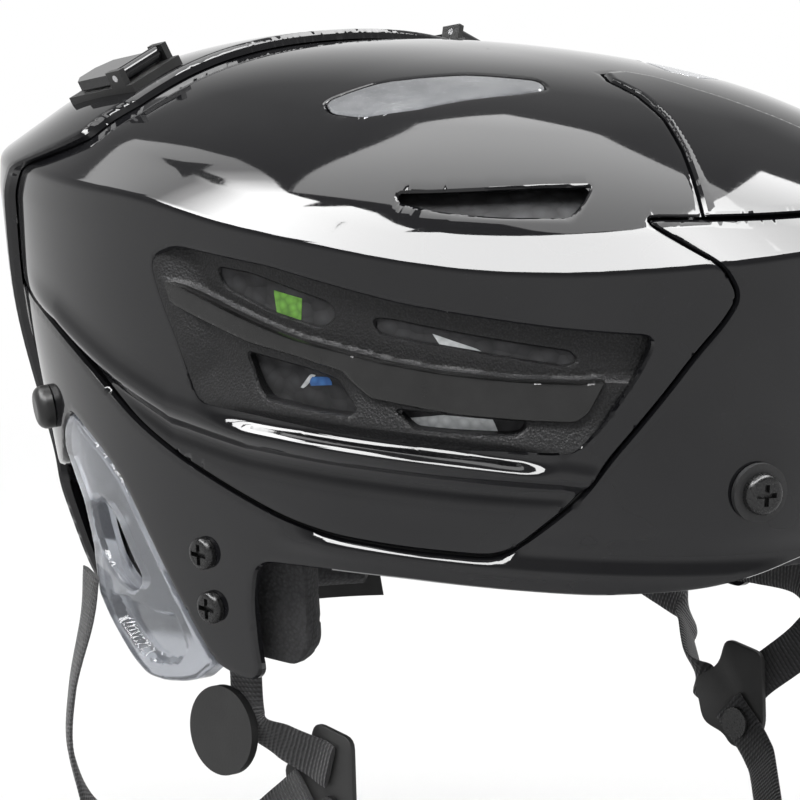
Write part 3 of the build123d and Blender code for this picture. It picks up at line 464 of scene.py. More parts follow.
class Outline:
    """A piece's outline on the form at a depth, from a function of Spots that gives distances inside it."""

    def __init__(self, keep, depth):
        self.keep, self.depth = keep, depth

    def measure(self, angle, run):
        """Distances inside the outline, and the reach that turns angles into lengths there."""
        spots = Spots(angle, run, self.depth)
        return self.keep(spots), np.maximum(np.hypot(spots.x, spots.y), LEAST_REACH)

    def settle(self, angle, run, inside, target):
        """Moves points across the outline to a given distance inside it."""
        reach = self.measure(angle, run)[1]
        across = (self.measure(angle + NUDGE / reach, run)[0] - inside) / NUDGE
        along = (self.measure(angle, run + NUDGE)[0] - inside) / NUDGE
        steep = np.maximum(across**2 + along**2, LEAST_SLOPE)
        gap = np.clip(target - inside, -MOST_MOVE, MOST_MOVE)
        return angle + gap * across / steep / reach, run + gap * along / steep, across, along

    def ringed(self, angles, runs):
        """A grid whose points near the outline move onto rings along it.

        Gives angles, runs, distances inside, in rings where a point is on one, and the rings.
        """
        angle, run = np.meshgrid(angles, runs, indexing="ij")
        inside, reach = self.measure(angle, run)
        wide = (np.gradient(angles)[:, None] * reach).ravel()
        tall = np.broadcast_to(np.gradient(runs)[None, :], angle.shape).ravel()
        angle, run, inside = angle.ravel(), run.ravel(), inside.ravel().copy()
        close = np.abs(inside) < NEAR * np.maximum(wide, tall)
        near = angle[close], run[close]
        at = inside[close]
        across, along = self.settle(*near, at, at)[2:]
        slope = np.maximum(np.hypot(across, along), LEAST_SLOPE)
        pitch = np.maximum(np.abs(across) * wide[close], np.abs(along) * tall[close]) / slope
        ring = np.round(at / pitch)
        fixed = np.abs(ring) < FIXED_RINGS
        goal = np.where(fixed, np.where(ring > 0, np.minimum(pitch, RING), ring * pitch), at)
        for _ in range(2):
            near = self.settle(*near, at, goal)[:2]
            at = self.measure(*near)[0]
        angle[close], run[close] = near
        inside[close] = np.where(fixed, ring, at)
        rings = np.full(len(angle), NO_RING)
        rings[close] = np.where(fixed, ring, NO_RING)
        return angle, run, inside, rings

    def trimmed(self, angle, run, inside, crossed):
        """The inner parts of cells that the outline crosses, with the points and those that it adds."""
        faces, extra, cuts = [], [], {}

        def cut(i, j):
            i, j = min(i, j), max(i, j)
            if (i, j) not in cuts:
                t = inside[i] / (inside[i] - inside[j])
                cuts[i, j] = len(angle) + len(extra)
                extra.append([values[i] * (1 - t) + values[j] * t for values in (angle, run)])
            return cuts[i, j]

        for cell in crossed:
            face = []
            for i, j in zip(cell, cell[1:] + cell[:1]):
                if inside[i] >= 0:
                    face.append(i)
                if min(inside[i], inside[j]) < 0 < max(inside[i], inside[j]):
                    face.append(cut(i, j))
            if len(face) > 2:
                faces.append(tuple(face))
        added = np.array(extra).reshape(-1, 2).T
        for _ in range(2 if extra else 0):
            added = self.settle(*added, self.measure(*added)[0], 0)[:2]
        return faces, np.concatenate([angle, added[0]]), np.concatenate([run, added[1]])


def cells(shape, inside, rings):
    """The faces of a grid's whole cells inside the outline, and the cells that the outline crosses.

    A whole cell is a quad, or two triangles where a ring runs over its diagonal.
    """
    number = np.arange(shape[0] * shape[1]).reshape(shape)
    quads = np.stack([number[:-1, :-1], number[1:, :-1], number[1:, 1:], number[:-1, 1:]], -1).reshape(-1, 4)
    signs = inside[quads] >= 0
    whole = quads[signs.all(1)]
    one, two, three, four = rings[whole].T
    first = (one == three) & (one < NO_RING) & (two != four)
    second = (two == four) & (two < NO_RING) & (one != three) & ~first
    faces = [tuple(quad) for quad in whole[~first & ~second].tolist()]
    for corners in ((0, 1, 2), (0, 2, 3)):
        faces += [tuple(face) for face in whole[first][:, corners].tolist()]
        faces += [tuple(face) for face in np.roll(whole[second], -1, 1)[:, corners].tolist()]
    return faces, quads[signs.any(1) & ~signs.all(1)].tolist()


def grid_mesh(name, angles, runs, keep, outer, inner, edge=1.2, at=0.0):
    """A shell piece over a grid of angles and runs, cut to where keep() is positive, with a wall.

    keep() gives the distance inside the piece's outline of Spots whose depth is at. outer() and inner()
    give the depths of the two faces there. edge is the radius of the rolled outer edge, or gives it.
    """
    outline = Outline(keep, at)
    angle, run, inside, rings = outline.ringed(angles, runs)
    faces, crossed = cells((len(angles), len(runs)), inside, rings)
    cut_faces, angle, run = outline.trimmed(angle, run, inside, crossed)
    faces += cut_faces
    used = np.unique(np.concatenate([np.array(face) for face in faces]))
    renumber = np.full(len(angle), -1)
    renumber[used] = np.arange(len(used))
    faces = [tuple(renumber[list(face)].tolist()) for face in faces]
    spots = Spots(angle[used], run[used], at)
    spots.inside = np.maximum(keep(spots), 0)
    if callable(edge):
        edge = edge(spots)
    depth = outer(spots)
    depths = depth + roll(spots.inside, edge), inner(spots), depth + edge
    return walled(name, faces, *(to_row(*form_point(spots.angle, spots.run, d)).tolist() for d in depths))


def walled(name, faces, top, below, middle):
    """A piece of two faces of the same cells, joined round their edges over a lip's line of points."""
    edges = {}
    for face in faces:
        for i, j in zip(face, face[1:] + face[:1]):
            if (j, i) in edges:
                del edges[j, i]
            else:
                edges[i, j] = True
    count = len(top)
    points = top + below
    lip = {}
    for pair in edges:
        for k in pair:
            if k not in lip:
                lip[k] = len(points)
                points.append(middle[k])
    walls = [(j, i, lip[i], lip[j]) for i, j in edges]
    walls += [(lip[j], lip[i], i + count, j + count) for i, j in edges]
    under = [tuple(i + count for i in reversed(face)) for face in faces]
    return new_piece(name, points, faces + walls + under)


def new_piece(name, points, faces, smooth=True):
    """A mesh object, shaded smooth but for its sharp edges, or flat."""
    mesh = bpy.data.meshes.new(name)
    mesh.from_pydata(points, [], faces)
    mesh.validate()
    if smooth:
        mesh.polygons.foreach_set("use_smooth", [True] * len(mesh.polygons))
    mesh.update()
    if smooth:
        mesh.set_sharp_from_angle(angle=radians(SHARP_FROM))
    return linked(name, mesh)


def linked(name, data):
    piece = bpy.data.objects.new(name, data)
    bpy.context.scene.collection.objects.link(piece)
    return piece


def angle_steps(low, high, grid=GRID):
    """Angles between two, in degrees, about a grid apart on the shell."""
    count = max(int(radians(high - low) * MEAN_REACH / grid), LEAST_STEPS)
    return np.radians(np.linspace(low, high, count))


def run_steps(low, high, grid=GRID):
    return np.linspace(low, high, max(int((high - low) / grid), LEAST_STEPS))


def joined(*parts):
    """Steps that follow one another."""
    return np.unique(np.round(np.concatenate(parts), 7))


def both_sides(low, high):
    """Each side with its range of angles, from the range on the wearer's right."""
    return ("right", low, high), ("left", 180 - high, 180 - low)


def part_name(node, word):
    """A CAD node's name with a word at its end, or before its side."""
    stem, _, side = node.rpartition("_")
    return f"{stem}_{word}_{side}" if side in ("right", "left") else f"{node}_{word}"


def flat(depth):
    """A face of one depth."""
    return lambda p: np.full_like(p.angle, depth)


def dress(piece, look):
    piece.data.materials.clear()
    piece.data.materials.append(look)
    return piece


def place(piece, body, node):
    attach(piece, body)
    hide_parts(node)


def skin(node, body, look, *form, name=None, **settings):
    """A dressed grid_mesh() piece on a body, in the place of a CAD node."""
    place(dress(grid_mesh(name or part_name(node, "skin"), *form, **settings), look), body, node)


FINE = 0.6
COARSE = 1.3
SHELL_ANGLES = joined(
    angle_steps(-180, -12, COARSE), angle_steps(-12, 72, FINE), angle_steps(72, 108, GRID),
    angle_steps(108, 192, FINE)[:-1])
SHELL_ANGLES = SHELL_ANGLES[SHELL_ANGLES <= radians(180) + 1e-6]


# Materials


def material(name):
    mat = bpy.data.materials.new(name)
    mat.use_nodes = True
    return mat, mat.node_tree, mat.node_tree.nodes["Principled BSDF"]


def add(tree, kind, inputs=(), operation=None):
    """A node of a kind, with its inputs linked to sockets or set to values."""
    node = tree.nodes.new("ShaderNode" + kind)
    if operation:
        node.operation = operation
    for key, value in dict(inputs).items():
        if isinstance(value, bpy.types.NodeSocket):
            tree.links.new(value, node.inputs[key])
        else:
            node.inputs[key].default_value = value
    return node


def pattern(tree, settings):
    """Noise from a scale, a detail and perhaps a roughness, or cells from a scale alone."""
    inputs = {"Vector": add(tree, "TexCoord").outputs["Object"]}
    if isinstance(settings, tuple):
        inputs.update(zip(("Scale", "Detail", "Roughness"), settings))
        return add(tree, "TexNoise", inputs).outputs["Fac"]
    return add(tree, "TexVoronoi", {**inputs, "Scale": settings}).outputs["Distance"]


def ramp(tree, socket, source, low, high, low_at=0.3, high_at=0.7):
    """Drives a socket with a colour or value ramp over another node's output."""
    node = add(tree, "ValToRGB", {"Fac": source})
    for stop, at, value in zip(node.color_ramp.elements, (low_at, high_at), (low, high)):
        stop.position = at
        stop.color = (*value, 1) if isinstance(value, tuple) else (value, value, value, 1)
    tree.links.new(node.outputs["Color"], socket)


def bump(tree, shader, source, strength, distance, before=None):
    """A bump on a shader, over another one if there is one before it."""
    inputs = {"Strength": strength, "Distance": distance, "Height": source}
    if before:
        inputs["Normal"] = before.outputs["Normal"]
    node = add(tree, "Bump", inputs)
    tree.links.new(node.outputs["Normal"], shader.inputs["Normal"])
    return node


def look(name, colour=None, roughness=None, grain=(), values=()):
    """A look from ramps over patterns, bumps one over the other, and uniform values.

    colour and roughness are a pattern's settings and a ramp's; grain is rows of a pattern's settings,
    a strength and a distance.
    """
    mat, tree, shader = material(name)
    for socket, ramped in (("Base Color", colour), ("Roughness", roughness)):
        if ramped:
            ramp(tree, shader.inputs[socket], pattern(tree, ramped[0]), *ramped[1:])
    before = None
    for settings, strength, distance in grain:
        before = bump(tree, shader, pattern(tree, settings), strength, distance, before)
    for socket, value in dict(values).items():
        shader.inputs[socket].default_value = value
    return mat


def satin_black(name, tint=0.014, roughness=0.38):
    """Satin black moulding."""
    return look(
        name, ((120, 3), (tint * 0.8,) * 3, (tint * 1.3,) * 3), ((60, 4), roughness - 0.06, roughness + 0.1),
        [((1400, 2), 0.12, 0.0003)], {"Specular IOR Level": 0.4})


def foam(name, low, high, scale=700, depth=0.0006):
    """Closed-cell or beaded foam in a colour."""
    return look(name, (scale, high, low, 0.1, 0.8), ((200, 3), 0.75, 0.92), [(scale, 0.5, -depth)])


def webbing_black():
    """Woven polyester webbing: cross ribs and fine weave from its own UV map."""
    mat, tree, shader = material("webbing_black")
    uv = add(tree, "UVMap")
    uv.uv_map = "weave"
    ribs = add(tree, "TexWave", {"Vector": uv.outputs["UV"], "Scale": 260, "Distortion": 1.5, "Detail": 2})
    yarn = add(tree, "TexWave", {"Vector": uv.outputs["UV"], "Scale": 420})
    ribs.bands_direction, yarn.bands_direction = "X", "DIAGONAL"
    first = bump(tree, shader, ribs.outputs["Fac"], 0.7, 0.0004)
    bump(tree, shader, yarn.outputs["Fac"], 0.4, 0.0002, first)
    low, high = (0.008, 0.008, 0.009), (0.03, 0.03, 0.032)
    ramp(tree, shader.inputs["Base Color"], ribs.outputs["Fac"], low, high, 0.1, 0.9)
    shader.inputs["Roughness"].default_value = 0.8
    shader.inputs["Sheen Weight"].default_value = 0.25
    return mat


# Polished black moulding: faint mould waviness, fine scuffs and dust in its roughness
GLOSS = look(
    "gloss_black", ((30, 3), (0.008, 0.008, 0.0095), (0.0125, 0.0125, 0.014)),
    ((900, 6, 0.7), 0.035, 0.1, 0.45, 0.8), [((22, 1, 0.4), 0.05, 0.002)],
    {"IOR": 1.46, "Specular IOR Level": 0.45})
# Matte black moulding with an etched grain
PEBBLED = look(
    "pebbled_black", ((2200, 2), (0.004, 0.004, 0.0045), (0.022, 0.022, 0.024), 0.45, 0.75), None,
    [(1500, 0.35, 0.0004), ((2600, 2), 0.15, 0.0003)], {"Roughness": 0.5, "Specular IOR Level": 0.3})
SATIN = satin_black("satin_black")
# Silver grey plastic inlay with a hot-stamped sheen
SILVER = look(
    "silver", ((90, 2), (0.42, 0.43, 0.45), (0.55, 0.56, 0.58)), ((500, 5), 0.17, 0.22),
    values={"Metallic": 0.75})
# Clear moulded polycarbonate, slightly milky, with faint flow lines
CLEAR = look(
    "clear_plastic", None, ((500, 4), 0.08, 0.16, 0.4, 0.75), [((60, 2), 0.04, 0.001)],
    {"Base Color": (0.5, 0.52, 0.56, 1), "Transmission Weight": 0.75, "IOR": 1.4})
WEBBING_LOOK = webbing_black()
BLACK_STEEL = look(
    "black_steel", ((1800, 3), (0.012, 0.012, 0.013), (0.03, 0.03, 0.03)), ((1800, 3), 0.22, 0.38),
    values={"Metallic": 0.4})
BRIGHT_STEEL = look(
    "bright_steel", ((1500, 4), (0.42, 0.42, 0.43), (0.56, 0.56, 0.57)), ((1500, 4), 0.2, 0.34),
    values={"Metallic": 1.0})
RUBBER = look(
    "matte_rubber", ((1200, 4), (0.011, 0.011, 0.012), (0.019, 0.019, 0.02)), None,
    [((1200, 4), 0.2, 0.0003)], {"Roughness": 0.6})
LINER_FOAM = foam("liner_foam", (0.008, 0.008, 0.009), (0.03, 0.03, 0.033), 260, 0.0012)
PAD_FOAM = foam("pad_foam", (0.016, 0.016, 0.017), (0.035, 0.035, 0.037), 900)
GREEN_FOAM = foam("green_foam", (0.10, 0.26, 0.03), (0.2, 0.5, 0.06), 500)
BLUE_FOAM = foam("blue_foam", (0.03, 0.10, 0.3), (0.06, 0.2, 0.5), 500)
# White foam, partly painted light: its pale colour also stands in for the bright backdrop seen through the
# vent
WHITE_FOAM_AND_BACKDROP_LIGHT = foam("white_foam", (0.5, 0.52, 0.53), (0.75, 0.77, 0.78), 500)
BAR_LOOK = satin_black("bar_black", 0.014, 0.2)
YOKE_LOOK = satin_black("yoke_leather", 0.018, 0.55)


# Shells

# Distances where nothing is cut and where all is, and the gap between mouldings
OPEN = 99
SHUT = -5
MOULD_GAP = 0.6
# Depth and width of the bevel at the vent's foot, and the edge that meets the vent's floor
SCOOP_SINK = 3.0
SCOOP_RUN = 4.6
SHARP = 0.08
# How far the rear shell stands off the form
REAR_GAP = 0.4
# The ledge's rise, and how far the ledge and the hollow lie below their lines
LEDGE_RISE = 1.7
LEDGE_DROP = 2.5
HOLLOW_DROP = 1.0
# The brow's rolled rim and the hollow above it: rise, height, width
BROW_RELIEF = ((1.3, 17.5, 2.6), (-1.2, 23.5, 3.6))

LEDGE_LINE = side_outline((
    (0.7, 0.8), (0.43, 0.72), (0.2, 0.6), (0.05, 0.54), (-0.15, 0.515), (-0.35, 0.51), (-0.6, 0.51),
    (-0.75, 0.5), (-0.86, 0.47),
))
LEDGE_FOOT = side_outline((
    (0.7, 0.72), (0.43, 0.65), (0.2, 0.53), (0.05, 0.46), (-0.15, 0.43), (-0.35, 0.425), (-0.6, 0.425),
    (-0.75, 0.43), (-0.86, 0.42),
))
BAR_TOP = side_outline(BAR[:11])


def on_dome(run):
    """0 on the side wall and 1 on the dome, where outlines are flat side views instead of runs."""
    return step(SHOULDER - LOWEST + 4.0, SHOULDER - LOWEST + 30.0, run)


def keep_outer(p):
    """Distance inside the outer shell's outline, over its seam, panel, vents, slot and opening."""
    dome = np.where(p.y > 0, on_dome(p.run), 0)
    inside = (1 - dome) * distance_in(OUTER_ZONE, p.u, p.z) + dome * (OVERLAP_END - p.y)
    foot = smooth_interp(SHOULDER_LOW, mirrored_angle(p.angle)) - LOWEST
    up = p.run > foot + BAND_RUN * 0.8
    return np.minimum.reduce([
        inside,
        np.where(p.z > PANEL_FOOT - 14, -distance_in(PANEL_LINE, p.x, p.y) - MOULD_GAP, OPEN),
        np.where(up, OPEN, -distance_in(OPENING_LINE, p.u, p.z)),
        np.where(up, -distance_in(SLOT_LINE, p.u, p.z), OPEN),
        np.where(up, -distance_in(CROWN_VENT_LINE, np.abs(p.x), p.y) - MOULD_GAP / 2, OPEN)])


def line_height(line, u):
    order = np.argsort(line[:, 0])
    return np.interp(u, line[order, 0], line[order, 1])


def ridge(offset, width):
    """A soft ridge: 1 on its line, less at an offset from it."""
    return np.exp(-((offset / width) ** 2))


def lower_relief(p):
    """Outward relief of the side below the vents: the ledge and the hollow under it."""
    top, foot = line_height(LEDGE_LINE, p.u), line_height(LEDGE_FOOT, p.u)
    fade = step(-95, -55, p.u) * (1 - step(118, 140, p.u))
    ledge = LEDGE_RISE * ridge(p.z - top + LEDGE_DROP, 3.6)
    hollow = -LEDGE_RISE * ridge(p.z - foot + HOLLOW_DROP, 3.0)
    return (ledge + hollow) * fade


def side_depth(p):
    """Depth of the side: the relief, and the bevel down to the vent's floor along its foot."""
    bevel = 1 - step(0, SCOOP_RUN, distance_to(SCOOP_LINE, p.u, p.z))
    part = step(2, 26, p.u) * (1 - step(SCOOP_LINE[0][0] - 16, SCOOP_LINE[0][0] - 4, p.u))
    return SCOOP_SINK * bevel * part - lower_relief(p)


def scoop_edge(near, edge):
    """A rolled edge that runs straight into the vent's floor near the scoop."""
    return lambda p: np.where(distance_to(SCOOP_LINE, p.u, p.z) < near, SHARP, edge)


OUTER_RUNS = joined(
    run_steps(75, 110, COARSE), run_steps(110, 186, FINE), run_steps(186, POLE_RUN - 0.1, COARSE))
skin("outer_shell", "front", GLOSS, SHELL_ANGLES, OUTER_RUNS, keep_outer, side_depth, flat(WALL),
     edge=scoop_edge(2.5, 1.0))


def keep_front(p):
    return np.minimum(distance_in(FRONT_ZONE, p.u, p.z), -distance_in(OUTER_ALL, p.u, p.z) - MOULD_GAP)


def front_depth(p):
    """The brow's relief, which fades out to the side's rear."""
    fade = step(28, 50, p.u)
    return -sum(rise * ridge(p.z - height, width) * fade for rise, height, width in BROW_RELIEF)


skin("front_shell", "front", GLOSS, angle_steps(-180, 180), run_steps(40, 215), keep_front, front_depth,
     flat(WALL))

REAR_FLAT = np.array([(a * REAR_REACH, b * SHOULDER) for a, b in REAR_EDGE[:5]])
REAR_FLAT = np.vstack([REAR_FLAT, [(400, 0), (400, ABOVE), (REAR_FLAT[0][0], ABOVE)]])
REAR_VENT_LINES = [rounded(np.array(vent) * (HALF_WIDTH, SHOULDER), 3.0) for vent in REAR_VENTS]


def keep_rear(p):
    dome = on_dome(p.run)
    inside = (1 - dome) * distance_in(REAR_ZONE, p.u, p.z) + dome * distance_in(REAR_FLAT, p.y, p.z)
    for line in REAR_VENT_LINES:
        inside = np.minimum(inside, np.where(p.y > 0, -distance_in(line, np.abs(p.x), p.z), OPEN))
    return inside


skin("rear_shell", "rear", GLOSS, angle_steps(-180, 0), run_steps(20, 300), keep_rear,
     flat(-WALL - REAR_GAP), flat(-REAR_GAP))


def keep_panel(p):
    inside = np.minimum(distance_in(PANEL_LINE, p.x, p.y), (p.z - PANEL_FOOT) * 1.3)
    return np.where(p.z > PANEL_FOOT - 8, inside, SHUT)


def keep_crown_vent(p):
    return np.where(p.z > PANEL_FOOT, distance_in(CROWN_VENT_LINE, np.abs(p.x), p.y), SHUT)


skin("crown_panel", "front", GLOSS, angle_steps(45, 135), run_steps(170, 330), keep_panel, flat(-1.0),
     flat(WALL))
for side, low, high in both_sides(-40, 90):
    skin("crown_vent_" + side, "front", SILVER, angle_steps(low, high, FINE), run_steps(210, 330, FINE),
         keep_crown_vent, flat(0.1), flat(WALL), edge=0.5)

# Vent cluster

VENT_GRID = 0.55
BAR_OUT = 0.3
BAR_IN = 5.0
# The floor's depth, how much deeper it is above the bar's upper edge, its inside, and how near to the
# scoop it meets the shell
FLOOR_DEEP = 2.6
FLOOR_DEEPER = 2.3
INSERT_INNER = 5.6
LAP = 3.2
# How far it reaches past the opening, there and elsewhere
LAP_THERE = -0.06
LAP_ELSE = 2.4


def keep_insert(p):
    lap = np.where(distance_to(SCOOP_LINE, p.u, p.z) < LAP, LAP_THERE, LAP_ELSE)
    inside = distance_in(OPENING_LINE, p.u, p.z) + lap
    for line in WINDOW_LINES:
        inside = np.minimum(inside, -distance_in(line, p.u, p.z))
    return inside


def insert_depth(p):
    """The floor is deep under the bar and comes up level with the shell at its foot and its rear end."""
    away = distance_to(SCOOP_LINE, p.u, p.z)
    at_edge = side_depth(p) * (1 - step(SCOOP_RUN, 2 * SCOOP_RUN, away))
    deep = FLOOR_DEEP + FLOOR_DEEPER * step(-1.0, 1.0, p.z - line_height(BAR_TOP, p.u))
    return 0.03 + np.maximum(at_edge, deep * step(0.5, 15.0, away))


def keep_inside(line):
    """Keeps what is inside a side outline."""
    return lambda p: distance_in(line, p.u, p.z)


for side, low, high in both_sides(-12, 72):
    angles = angle_steps(low, high, VENT_GRID)
    skin("vent_insert_" + side, "front", PEBBLED, angles, run_steps(115, 172, VENT_GRID), keep_insert,
         insert_depth, flat(INSERT_INNER), edge=scoop_edge(LAP, 0.8))
    skin("vent_bar_" + side, "front", BAR_LOOK, angles, run_steps(125, 165, VENT_GRID),
         keep_inside(BAR_LINE), flat(BAR_OUT), flat(BAR_IN), edge=1.1)

# Ear loops

LOOP_GRID = 0.7
LOOP_IN = 5.9
LOOP_SINK = 3.5


def keep_loop(p):
    return np.minimum.reduce([
        distance_in(LOOP_LINE, p.u, p.z), -distance_in(FRONT_ZONE, p.u, p.z) - 0.3,
        -distance_in(LOOP_HOLE_LINE, p.u, p.z)])


def loop_depth(p):
    return LOOP_SINK * step(0, 1.6, distance_in(LOOP_PANEL_LINE, p.u, p.z))


for side, low, high in both_sides(-40, 8):
    skin("ear_loop_" + side, "front", CLEAR, angle_steps(low, high, LOOP_GRID),
         run_steps(35, 125, LOOP_GRID), keep_loop, loop_depth, flat(LOOP_IN), edge=1.4)

# Liners and pads

DOME_START = SHOULDER - LOWEST + BAND_RUN
LINER_GRID = 1.8
LINER_SPLIT = 8.0
LINER_FOOT = 17.0
LINER_OUT = 7.0
REAR_LINER_OUT = 8.8
BLOCK_FRONT = 114.5
BLOCK_IN = 113.6
BLOCK_FOOT = 14.0
# Depths of the liner's inside at the sides, front, rear and crown
LINER_IN = (22.0, 36.0, 36.0, 24.0)
PAD_OUT = tuple(depth + 0.3 for depth in LINER_IN)
PAD = 6.0
# Room behind the rear liner for the size slide
SLIDE_GAP = 15.0
REAR_LINER_LINE = np.array([
    (8.4, 47.3), (66.3, 47.3), (66.3, 14.0), (113.2, 14.0), (113.2, 160), (8.4, 160)])
TEMPLE_LINE = rounded(
    side_outline(((-0.24, 0.13), (-0.014, 0.13), (-0.014, -0.21), (-0.2, -0.21), (-0.24, -0.15))), 3.0)


def lined_depth(p, side, front, rear, top):
    """A depth that differs at the sides, front, rear and crown."""
    end_on = np.sin(p.angle) ** 2
    wall = side * (1 - end_on) + np.where(np.sin(p.angle) > 0, front, rear) * end_on
    up = step(DOME_START - 5, DOME_START + 0.5 * DOME_RUN, p.run)
    return wall * (1 - up) + top * up


def channels(p, spacing, width, depth):
    """Moulded channels up the inside of a liner."""
    along = (np.degrees(p.angle) / spacing + 0.5) % 1 - 0.5
    return -depth * (1 - step(0, width, np.abs(along * spacing))) * (1 - step(200, 235, p.run))


def liner_inner(p):
    return lined_depth(p, *LINER_IN) + channels(p, 24.0, 3.2, 4.0)


def pad_outer(p):
    return lined_depth(p, *PAD_OUT)


skin("front_liner", "front", LINER_FOAM, angle_steps(-10, 190, LINER_GRID), run_steps(85, 330, LINER_GRID),
     lambda p: np.minimum(LINER_SPLIT - p.y, p.z - LINER_FOOT), flat(LINER_OUT), liner_inner, edge=2.0,
     at=LINER_OUT)
skin("rear_liner", "rear", LINER_FOAM, angle_steps(-180, 0, LINER_GRID), run_steps(85, 330, LINER_GRID),
     lambda p: distance_in(REAR_LINER_LINE, p.y, p.z),
     lambda p: REAR_LINER_OUT + SLIDE_GAP * np.sin(p.angle) ** 2, liner_inner, edge=2.0, at=LINER_OUT + 6)
skin("rear_block", "rear", LINER_FOAM, angle_steps(-150, -30, LINER_GRID), run_steps(85, 260, LINER_GRID),
     lambda p: np.minimum(p.y - BLOCK_FRONT, p.z - BLOCK_FOOT), flat(0.2),
     lambda p: np.maximum(p.y - BLOCK_IN, 0.5), edge=0.4)


def pillow(inside, reach):
    """0 at a foam's outline and 1 from a reach inside it, rounded."""
    return np.sqrt(np.clip(1 - (1 - np.clip(inside / reach, 0, 1)) ** 2, 0, 1))


PAD_EDGE = 6.0
RIB_PITCH = 7.5
RIB_HALF = 1.1


def padded_piece(node, body, angles, runs, keep, outer, thickness, grid=1.2, ribs=0.0):
    """A foam pad between a depth and that depth plus a thickness, with pillowed edges and sewn ribs."""
    def inner(p):
        off = np.abs((p.run / RIB_PITCH + 0.5) % 1 - 0.5) * RIB_PITCH
        rib = ribs * (1 - step(0, RIB_HALF, off)) * step(0, 4, p.inside)
        return outer(p) + thickness * (0.35 + 0.65 * pillow(p.inside, PAD_EDGE)) - rib

    at = float(outer(Spots(np.zeros(1), np.full(1, float(runs[0]))))[0])
    piece = dress(grid_mesh(
        part_name(node, "foam"), angle_steps(*angles, grid), run_steps(*runs, grid), keep, outer, inner,
        edge=1.0, at=at), PAD_FOAM)
    place(piece, body, node)


def in_box(low, high):
    """Keeps what is inside a box in the level frame."""
    return lambda p: np.minimum.reduce([
        np.minimum(value - least, most - value) for value, least, most in zip((p.x, p.y, p.z), low, high)])


# Node, body, angles, runs, low and high corners of its box, depth, thickness
for node, body, angles, runs, low, high, outer, thick in (
    ("brow_pad", "front", (30, 150), (92, 124), (-FAR, -FAR, 20.4), (FAR, -66, 45.6), pad_outer, PAD),
    ("crown_pad_front", "front", (0, 180), (200, 329.5), (-29.5, -61.5, 91), (29.5, 3.5, FAR),
     pad_outer, PAD),
    ("crown_pad_rear", "rear", (-180, 0), (200, 329.5), (-29.5, 12.9, 91), (29.5, 61.5, FAR),
     pad_outer, PAD),
    ("occipital_pad", "occipital", (-140, -40), (34, 84), (-45.5, 56, -33.6), (45.5, FAR, 1.6),
     flat(5.4), 9.2),
):
    padded_piece(node, body, angles, runs, in_box(low, high), outer, thick)
for side, low, high in both_sides(-15, 30):
    padded_piece("temple_pad_" + side, "front", (low, high), (50, 92), keep_inside(TEMPLE_LINE), flat(9.0),
                 11.4, grid=0.8, ribs=2.2)

# Depths of the foam in the windows, of its blocks and of its inside
FOAM_OUT = 5.95
BLOCK_OUT = 5.7
FOAM_IN = 6.7
FOAM_SHARES = {
    "upper": ((-0.02, 0.99), (-0.42, 0.9), (-0.42, 0.77), (-0.02, 0.84)),
    "front": ((-0.43, 0.9), (-0.86, 0.85), (-0.86, 0.74), (-0.43, 0.79)),
    "lower": ((-0.1, 0.75), (-0.78, 0.66), (-0.78, 0.53), (-0.1, 0.55)),
}
# Coloured blocks set in the dark foam: name, the foam it is in, look, outline. The white blocks are partly
# white foam and partly painted light: their pale colour stands in for the bright backdrop seen through the
# vent
FOAM_BLOCKS = (
    ("green", "upper", GREEN_FOAM, ((-0.191, 0.893), (-0.261, 0.882), (-0.261, 0.82), (-0.201, 0.83))),
    ("pale", "front", WHITE_FOAM_AND_BACKDROP_LIGHT, ((-0.539, 0.83), (-0.617, 0.801), (-0.654, 0.774), (-0.567, 0.774))),
    ("blue_front", "front", BLUE_FOAM, ((-0.484, 0.808), (-0.511, 0.808), (-0.518, 0.786), (-0.487, 0.786))),
    ("sliver", "lower", WHITE_FOAM_AND_BACKDROP_LIGHT, ((-0.26, 0.626), (-0.285, 0.672), (-0.298, 0.672), (-0.272, 0.63))),
    ("blue", "lower", BLUE_FOAM, ((-0.283, 0.664), (-0.328, 0.672), (-0.338, 0.651), (-0.284, 0.638))),
    ("white", "lower", WHITE_FOAM_AND_BACKDROP_LIGHT,
     ((-0.492, 0.585), (-0.583, 0.612), (-0.65, 0.612), (-0.663, 0.56), (-0.5, 0.55))),
)

for side, low, high in both_sides(-12, 72):
    sheets = [
        ("foam_skin_" + part, part, LINER_FOAM, shares, FOAM_OUT) for part, shares in FOAM_SHARES.items()]
    sheets += [("block_" + block, *rest, BLOCK_OUT) for block, *rest in FOAM_BLOCKS]
    for sheet, part, foam_look, shares, depth in sheets:
        skin("vent_foam_" + part + "_" + side, "front", foam_look, angle_steps(low, high),
             run_steps(110, 172), keep_inside(side_outline(shares)), flat(depth), flat(FOAM_IN), edge=0.1,
             name="vent_" + sheet + "_" + side)

# Harness

WEBBING = 12.0
WEBBING_THICK = 1.6
STRAP_ACROSS = np.linspace(-1, 1, 11)


def layered(name, layers):
    """A skin over outlines of equal count, one on the next, with capped ends."""
    count, last = len(layers[0]), len(layers) - 1
    faces = []
    for i in range(last):
        for k in range(count):
            n = (k + 1) % count
            faces.append((i * count + k, i * count + n, (i + 1) * count + n, (i + 1) * count + k))
    faces += [tuple(range(count))[::-1], tuple(last * count + k for k in range(count))]
    return new_piece(name, np.vstack(layers).tolist(), faces)


def unit(rows):
    return rows / np.linalg.norm(rows, axis=1)[:, None]


